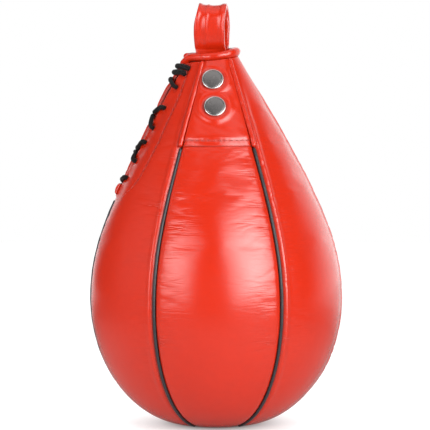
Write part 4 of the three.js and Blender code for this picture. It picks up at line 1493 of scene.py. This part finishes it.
def make_valve():
    """A rubber plug with a needle's bore, a rounded flange and two grip rings."""
    bore, plug = 0.8 * MM, 3.6 * MM
    foot, seat = 190 * MM, STEM_TOP + 0.3 * MM
    profile = np.concatenate([
        [[bore, foot], [plug - 0.5 * MM, foot], [plug, foot + 0.6 * MM], [plug, foot + 3 * MM]],
        [[plug - 0.25 * MM, foot + 3.4 * MM], [plug, foot + 3.8 * MM], [plug, foot + 6 * MM]],
        [[plug - 0.25 * MM, foot + 6.4 * MM], [plug, foot + 6.8 * MM], [plug, seat]],
        arc_points((STEM_RADIUS - 0.6 * MM, seat + 0.7 * MM), 0.7 * MM, -90, 90, 9),
        [[2.0 * MM, seat + 1.4 * MM], [1.5 * MM, seat + 1.1 * MM], [bore, seat + 1.0 * MM]],
    ])
    rings = lathed(profile, 48, Matrix.Translation((0, 0, FOOT)))
    new_piece(
        "needle_valve", [ringed(rings.transpose(1, 0, 2), closed=True)], finish("valve_rubber"),
        stands_for=["inflation_valve"],
    )


# ---- studio ----
BALL_CENTRE = (0, 0, FOOT + 100 * MM)
# A softbox's azimuth, elevation, half width and half height in degrees: the whole box, and its bright spot.
KEY_BOX, KEY_SPOT = (36, 21, 27, 28), (38, 18, 7, 8)
FILL_BOX, FILL_SPOT = (-39, 14, 17, 21), (-41, 20, 6, 6)
LIGHT_DISTANCE, NEST_STEP = 1.2, 0.004
FLOOR_RINGS = (0.001, 0.1, 0.2, 0.35, 0.6, 1.2)
FLOOR_SIDES = 96
LENS_SENSOR = 36


def aim(obj, where, target):
    """Puts an object at a place and turns it to face a target."""
    obj.location = where
    obj.rotation_euler = (Vector(target) - Vector(where)).to_track_quat("-Z", "Y").to_euler()


def around_ball(azimuth, elevation, distance, centre):
    """A place at an azimuth (0 in front, positive to the right) and elevation seen from the centre."""
    a, e = math.radians(azimuth), math.radians(elevation)
    return centre + distance * Vector((math.sin(a) * math.cos(e), -math.cos(a) * math.cos(e), math.sin(e)))


def softbox(name, azimuth, elevation, distance, width, height, radiance, centre, shine=True):
    """A rectangular light facing the ball; power = radiance x area x pi. Without shine it only lights."""
    light = bpy.data.lights.new(name, "AREA")
    light.shape = "RECTANGLE"
    light.size = width
    light.size_y = height
    light.energy = radiance * width * height * math.pi
    lamp = bpy.data.objects.new(name, light)
    bpy.context.scene.collection.objects.link(lamp)
    lamp.visible_camera = False
    lamp.visible_glossy = shine
    aim(lamp, around_ball(azimuth, elevation, distance, centre), centre)


def graded_softbox(name, first, last, radiance, centre, steps=6):
    """A softbox brighter towards a spot: nested rectangles, evenly spaced from the whole box to the spot."""
    for step in range(steps):
        azimuth, elevation, across, up = (mix(a, b, step / (steps - 1)) for a, b in zip(first, last))
        distance = LIGHT_DISTANCE + NEST_STEP * step
        width, height = (2 * distance * math.tan(math.radians(half)) for half in (across, up))
        softbox(f"{name}_{step}", azimuth, elevation, distance, width, height, radiance / steps, centre)


def studio_world():
    """Surroundings for the shine: dim in front of the ball and bright behind it; white to the camera."""
    studio = bpy.context.scene.speed_bag_studio
    world = bpy.data.worlds.new("studio")
    world.use_nodes = True
    nodes, links = world.node_tree.nodes, world.node_tree.links
    nodes.clear()
    out = nodes.new("ShaderNodeOutputWorld")
    path = nodes.new("ShaderNodeLightPath")
    where = nodes.new("ShaderNodeTexCoord")
    ramp = nodes.new("ShaderNodeMapRange")
    ramp.interpolation_type = "SMOOTHSTEP"
    for key, value in ((1, 0.4), (2, 0.95), (3, studio.front_glow), (4, studio.back_glow)):
        ramp.inputs[key].default_value = value
    room = nodes.new("ShaderNodeBackground")
    white = nodes.new("ShaderNodeBackground")
    white.inputs["Color"].default_value = WHITE
    room.inputs["Color"].default_value = WHITE
    pick = nodes.new("ShaderNodeMixShader")
    facing = nodes.new("ShaderNodeVectorMath")
    facing.operation = "DOT_PRODUCT"
    facing.inputs[1].default_value = (0.4, 0.87, 0)
    links.new(where.outputs["Generated"], facing.inputs[0])
    links.new(facing.outputs["Value"], ramp.inputs[0])
    links.new(ramp.outputs[0], room.inputs["Strength"])
    links.new(path.outputs["Is Camera Ray"], pick.inputs[0])
    links.new(room.outputs[0], pick.inputs[1])
    links.new(white.outputs[0], pick.inputs[2])
    links.new(pick.outputs[0], out.inputs[0])
    bpy.context.scene.world = world


def make_floor():
    """A pale round floor that glows, bright towards its edge so that it runs into the white around it, with a
    painted shadow that darkens its glow round the ball's foot.
    """
    studio = bpy.context.scene.speed_bag_studio
    a = np.linspace(0, 2 * np.pi, FLOOR_SIDES, endpoint=False)
    r = np.array(FLOOR_RINGS)
    x, y = np.outer(r, np.cos(a)), np.outer(r, np.sin(a))
    points, faces, _ = ringed(np.stack(np.broadcast_arrays(x, y, FOOT - 0.1 * MM), -1))
    mesh = bpy.data.meshes.new("floor")
    mesh.from_pydata(points.tolist(), [], faces.tolist() + [list(range(FLOOR_SIDES))])
    bench = Bench("floor_card", Specular_IOR_Level=0.15, Emission_Strength=1.0)
    x, y, _ = bench.split(bench.place())
    reach = (x * x + y * y) ** 0.5
    edge = ((reach - 0.16) / 0.3).most(0.0).least(1.0)
    # Painted shadow: the floor's glow fades to black from 59 mm out to 19 mm from the ball's axis.
    near = ((reach - 0.019) / 0.04).most(0.0).least(1.0) ** 0.6
    under = bench.between(near, BLACK, shade((1.0, 0.99, 0.99), studio.floor_glow))
    behind = ((x * 0.4 + y - 0.15) / 0.5).most(0.0).least(1.0)
    ray = bench.node("ShaderNodeLightPath")
    seen, soft = ray["Is Camera Ray"], ray["Is Diffuse Ray"]
    strength = seen.most(soft * studio.floor_bounce).most(behind * 0.9).most(studio.floor_return)
    bench.drive(
        Base_Color=bench.between(edge, shade((1, 1, 1), studio.floor_tone), BLACK),
        Emission_Color=bench.between(strength, BLACK, bench.between(edge, under, WHITE)),
        Roughness=bench.noise(bench.place(), 30) * 0.02 + 0.6,
    )
    mesh.materials.append(bench.material)
    floor = bpy.data.objects.new("floor", mesh)
    bpy.context.scene.collection.objects.link(floor)


def make_camera():
    """A long lens, a little above the belly and a degree round to the left."""
    studio = bpy.context.scene.speed_bag_studio
    camera = bpy.data.objects.new("camera", bpy.data.cameras.new("camera"))
    camera.data.sensor_width = LENS_SENSOR
    camera.data.lens = LENS_SENSOR * studio.distance / studio.view_width
    camera.data.clip_end = 50
    bpy.context.scene.collection.objects.link(camera)
    target = Vector((studio.aim_across, 0, FOOT + studio.aim_height))
    aim(camera, around_ball(studio.view_azimuth, studio.view_elevation, studio.distance, target), target)
    bpy.context.scene.camera = camera


# ---- settings ----
def length(label, note, value):
    return bpy.props.FloatProperty(
        name=label, description=note, default=value, min=0, unit="LENGTH", precision=5
    )


def amount(label, note, value):
    return bpy.props.FloatProperty(name=label, description=note, default=value, min=0)


def free(label, note, value):
    return bpy.props.FloatProperty(name=label, description=note, default=value)


def count(label, note, value):
    return bpy.props.IntProperty(name=label, description=note, default=value)


def colour(label, note, value):
    return bpy.props.FloatVectorProperty(
        name=label, description=note, default=value, min=0, max=1, subtype="COLOR"
    )


class SpeedBagSizes(bpy.types.PropertyGroup):
    leather: length("Leather", "Thickness of a gore", 2.2 * MM)
    seam_gap: length("Seam gap", "Half the gap between two gores", 0.5 * MM)
    seam_dip: length("Seam dip", "How deep a seam's crease is", 1.05 * MM)
    seam_width: length("Seam width", "How far a seam's crease reaches", 2.1 * MM)
    seam_roll: length("Seam roll", "Radius of a gore's edge as it turns into the seam", 1.1 * MM)
    lip_roll: length("Lip roll", "Radius of a lip's turned edge", 1.7 * MM)
    ridge_height: length("Allowance ridge", "Height of the seam allowance pressed under a gore", 0.9 * MM)
    fold_height: length("Fold depth", "Depth of the gathers beside a seam", 0.34 * MM)
    fold_pitch: length("Fold pitch", "Distance between gathers", 7.4 * MM)
    fold_reach: length("Fold reach", "How far the gathers run into a gore", 13 * MM)
    air_pressure: amount("Air pressure", "Pressure that blows the skin up between its seams", 1.6)
    slack: amount("Slack", "Share by which the leather is longer than its seams", 0.006)
    swell_share: amount("Swell share", "Share of the cloth's smooth swell that is kept", 0.8)
    buckle_share: amount("Buckle share", "Share of the cloth's buckles that is kept", 0.3)
    swell_cap: length("Most swell", "The furthest that the skin may swell", 2.6 * MM)
    crossing_dent: length("Crossing dent", "How far the lace dents the lips where it crosses them", 1.7 * MM)
    near_lip_drop: length("Near lip drop", "How much lower the near lip's edge is than its crest", 1.5 * MM)
    hole_dimple: length("Hole dimple", "How far the lace pulls a lip in at a hole", 1.0 * MM)
    row_groove: length("Row groove", "Depth of the groove that a row of thread lies in", 0.35 * MM)
    row_inset: length("Row inset", "Distance of the patch's row from its foot", 3.6 * MM)
    stitch: length("Stitch", "Length of one stitch", 3.2 * MM)
    thread: length("Thread", "Radius of the thread", 0.25 * MM)
    piping_radius: length("Piping", "Radius of the piping's bead", 0.92 * MM)
    piping_stand: length("Piping stand", "Height of the bead's centre over the crease", 0.8 * MM)
    patch: length("Patch", "Height of a neck patch over the skin", 1.8 * MM)
    welt_radius: length("Welt", "Radius of the welts beside a patch", 1.5 * MM)
    welt_stand: length("Welt stand", "Height of a welt's centre over the crease", 1.8 * MM)
    collar_radius: length("Collar", "Radius of the rolled collar in front", 2.85 * MM)
    collar_lift: length("Collar lift", "How much the roll stands up away from the slit", -0.3 * MM)
    strap_thickness: length("Strap", "Thickness of the strap's two plies", 3.2 * MM)
    strap_ridge: length("Strap ridges", "Height of the lengthwise ridges that handling pressed in", 0.5 * MM)
    strap_cup: length("Strap cup", "How far the strap's edges stand up at the crown", 1.2 * MM)
    rivet_head: length("Rivet head", "Radius of a rivet's head", 6.6 * MM)
    lace_radius: length("Lace", "Radius of the lace", 1.3 * MM)
    gore_rows: count("Gore rows", "Mesh rows from foot to rim", 300)
    gore_columns: count("Gore columns", "Mesh columns between the rolls", 54)


class SpeedBagLooks(bpy.types.PropertyGroup):
    leather_colour: colour("Leather", "Colour of the gores and trim", (0.47, 0.0165, 0.003))
    strap_colour: colour("Strap", "Colour of the strap", (0.47, 0.0165, 0.003))
    cut_edge_colour: colour("Cut edge", "Colour of the strap's raw edge", (0.62, 0.30, 0.30))
    piping_colour: colour("Piping", "Colour of the piping", (0.022, 0.023, 0.026))
    lace_colour: colour("Lace", "Colour of the lace", (0.008, 0.006, 0.006))
    thread_colour: colour("Thread", "Colour of the sewing thread", (0.42, 0.018, 0.008))
    steel_colour: colour("Steel", "Colour of the rivets' plating", (0.27, 0.255, 0.25))
    cloth_colour: colour("Lining", "Colour of the lining", (0.62, 0.55, 0.44))
    bladder_colour: colour("Bladder", "Colour of the bladder", (0.030, 0.028, 0.026))
    valve_colour: colour("Valve", "Colour of the valve", (0.50, 0.42, 0.32))
    leather_roughness: amount("Leather roughness", "Roughness of the leather's finish", 0.21)
    shine: amount("Shine", "Specular level of the leather's finish", 0.6)
    grain_depth: length("Grain", "Depth of the leather's pebble grain", 0.008 * MM)
    fold_depth: length("Fine folds", "Depth of the fine folds beside the seams", 0.3 * MM)


class SpeedBagStudio(bpy.types.PropertyGroup):
    distance: length("Distance", "Camera's distance", 2.096)
    view_width: length("View width", "Width that the camera sees at the ball", 0.2623)
    view_azimuth: free("View azimuth", "Degrees round from the front", -1.0)
    view_elevation: amount("View elevation", "Degrees above the horizon", 4.84)
    aim_across: free("Aim across", "Where the camera aims, to the right of the axis", -0.6 * MM)
    aim_height: length("Aim height", "Height over the foot that the camera aims at", 127.7 * MM)
    key_glow: amount("Key", "Brightness of the large softbox on the right", 10.5)
    fill_glow: amount("Fill", "Brightness of the softbox on the left", 5.6)
    top_glow: amount("Top", "Brightness of the softbox overhead", 0.8)
    left_wash: amount("Left wash", "Brightness of the light that only fills the left side", 3.8)
    low_wash: amount("Low wash", "Brightness of the light that only fills the front from low down", 0.9)
    front_glow: amount("Front", "Brightness of the room in front of the ball", 0.07)
    back_glow: amount("Back", "Brightness of the room behind the ball", 1.5)
    floor_tone: amount("Floor", "Share of the light that the floor gives back", 0.3)
    floor_return: amount("Floor return", "Share of the floor's glow that the ball's shine shows", 0.15)
    floor_bounce: amount("Floor bounce", "Share of the floor's glow that lights the ball", 0.9)
    floor_glow: amount("Floor glow", "Light added to the floor round the ball", 0.85)


# ---- operators ----
class BuildOperator:
    """Shared manners of the build steps: a step that fails raises, so that the script stops."""

    bl_options = {"REGISTER", "UNDO"}

    def execute(self, context):
        self.build(context)
        return {"FINISHED"}


class SPEEDBAG_OT_gores(BuildOperator, bpy.types.Operator):
    """Blow up the skin and sew its six gores"""

    bl_idname = "speedbag.gores"
    bl_label = "Gores"

    def build(self, context):
        inflate()
        for index in range(len(GORE_NAMES)):
            make_gore(index)


class SPEEDBAG_OT_piping(BuildOperator, bpy.types.Operator):
    """Lay the piping in the six seams"""

    bl_idname = "speedbag.piping"
    bl_label = "Piping"

    def build(self, context):
        for seam in PIPED_SEAMS:
            make_piping(*seam)


class SPEEDBAG_OT_neck(BuildOperator, bpy.types.Operator):
    """Cover the neck with its patches and roll the collar"""

    bl_idname = "speedbag.neck"
    bl_label = "Neck"

    def build(self, context):
        for end, centre in (("front", 0), ("back", 180)):
            make_patch(end, centre)
        make_collar()


class SPEEDBAG_OT_strap(BuildOperator, bpy.types.Operator):
    """Hang the strap and rivet it"""

    bl_idname = "speedbag.strap"
    bl_label = "Strap and rivets"

    def build(self, context):
        make_strap()
        for end in ("front", "back"):
            for rivet in RIVETS:
                make_rivet(end, *rivet)


class SPEEDBAG_OT_lacing(BuildOperator, bpy.types.Operator):
    """Lace the slit, with its facings, tongue and stay"""

    bl_idname = "speedbag.lacing"
    bl_label = "Lacing"

    def build(self, context):
        make_lace()
        make_facing("near", 1)
        make_facing("far", -1)
        make_tongue()
        make_stay()


class SPEEDBAG_OT_stitching(BuildOperator, bpy.types.Operator):
    """Sew the rows of thread"""

    bl_idname = "speedbag.stitching"
    bl_label = "Stitching"

    def build(self, context):
        make_patch_row("front", 0)
        make_patch_row("back", 180)
        make_slit_row()


class SPEEDBAG_OT_inside(BuildOperator, bpy.types.Operator):
    """Fit the lining, bladder and valve"""

    bl_idname = "speedbag.inside"
    bl_label = "Inside"

    def build(self, context):
        make_lining()
        make_bladder()
        make_valve()


class SPEEDBAG_OT_stage(BuildOperator, bpy.types.Operator):
    """Set up the camera, lights, surroundings and floor"""

    bl_idname = "speedbag.stage"
    bl_label = "Stage"

    def build(self, context):
        studio = context.scene.speed_bag_studio
        centre = Vector(BALL_CENTRE)
        make_camera()
        studio_world()
        graded_softbox("key_softbox", KEY_BOX, KEY_SPOT, studio.key_glow, centre)
        graded_softbox("fill_softbox", FILL_BOX, FILL_SPOT, studio.fill_glow, centre, steps=4)
        softbox("top_softbox", 0, 88, LIGHT_DISTANCE, 1.4, 1.4, studio.top_glow, centre)
        softbox("left_wash", -85, 15, LIGHT_DISTANCE, 1.0, 1.0, studio.left_wash, centre, shine=False)
        softbox("low_wash", -10, 0, LIGHT_DISTANCE, 1.2, 0.5, studio.low_wash, centre, shine=False)
        make_floor()
        context.scene.view_settings.view_transform = "Standard"


BUILD_STEPS = (
    SPEEDBAG_OT_stage, SPEEDBAG_OT_gores, SPEEDBAG_OT_piping, SPEEDBAG_OT_neck, SPEEDBAG_OT_strap,
    SPEEDBAG_OT_lacing, SPEEDBAG_OT_stitching, SPEEDBAG_OT_inside,
)
SETTINGS = (
    ("speed_bag_sizes", SpeedBagSizes),
    ("speed_bag_looks", SpeedBagLooks),
    ("speed_bag_studio", SpeedBagStudio),
)


class SPEEDBAG_PT_build(bpy.types.Panel):
    """The bag's build steps and settings"""

    bl_idname = "SPEEDBAG_PT_build"
    bl_label = "Speed Bag"
    bl_space_type = "VIEW_3D"
    bl_region_type = "UI"
    bl_category = "Speed Bag"

    def draw(self, context):
        for step in BUILD_STEPS:
            self.layout.operator(step.bl_idname)
        for name, group in SETTINGS:
            box = self.layout.box()
            for field in group.__annotations__:
                box.prop(getattr(context.scene, name), field)


def register():
    """Adds the settings, build steps and panel."""
    for name, group in SETTINGS:
        bpy.utils.register_class(group)
        setattr(bpy.types.Scene, name, bpy.props.PointerProperty(type=group))
    for kind in (*BUILD_STEPS, SPEEDBAG_PT_build):
        bpy.utils.register_class(kind)


def unregister():
    """Takes them away again."""
    for kind in (SPEEDBAG_PT_build, *reversed(BUILD_STEPS)):
        bpy.utils.unregister_class(kind)
    for name, group in reversed(SETTINGS):
        delattr(bpy.types.Scene, name)
        bpy.utils.unregister_class(group)


def main():
    """Runs every build step once."""
    register()
    bpy.ops.speedbag.stage()
    bpy.ops.speedbag.gores()
    bpy.ops.speedbag.piping()
    bpy.ops.speedbag.neck()
    bpy.ops.speedbag.strap()
    bpy.ops.speedbag.lacing()
    bpy.ops.speedbag.stitching()
    bpy.ops.speedbag.inside()


if __name__ == "__main__":
    main()
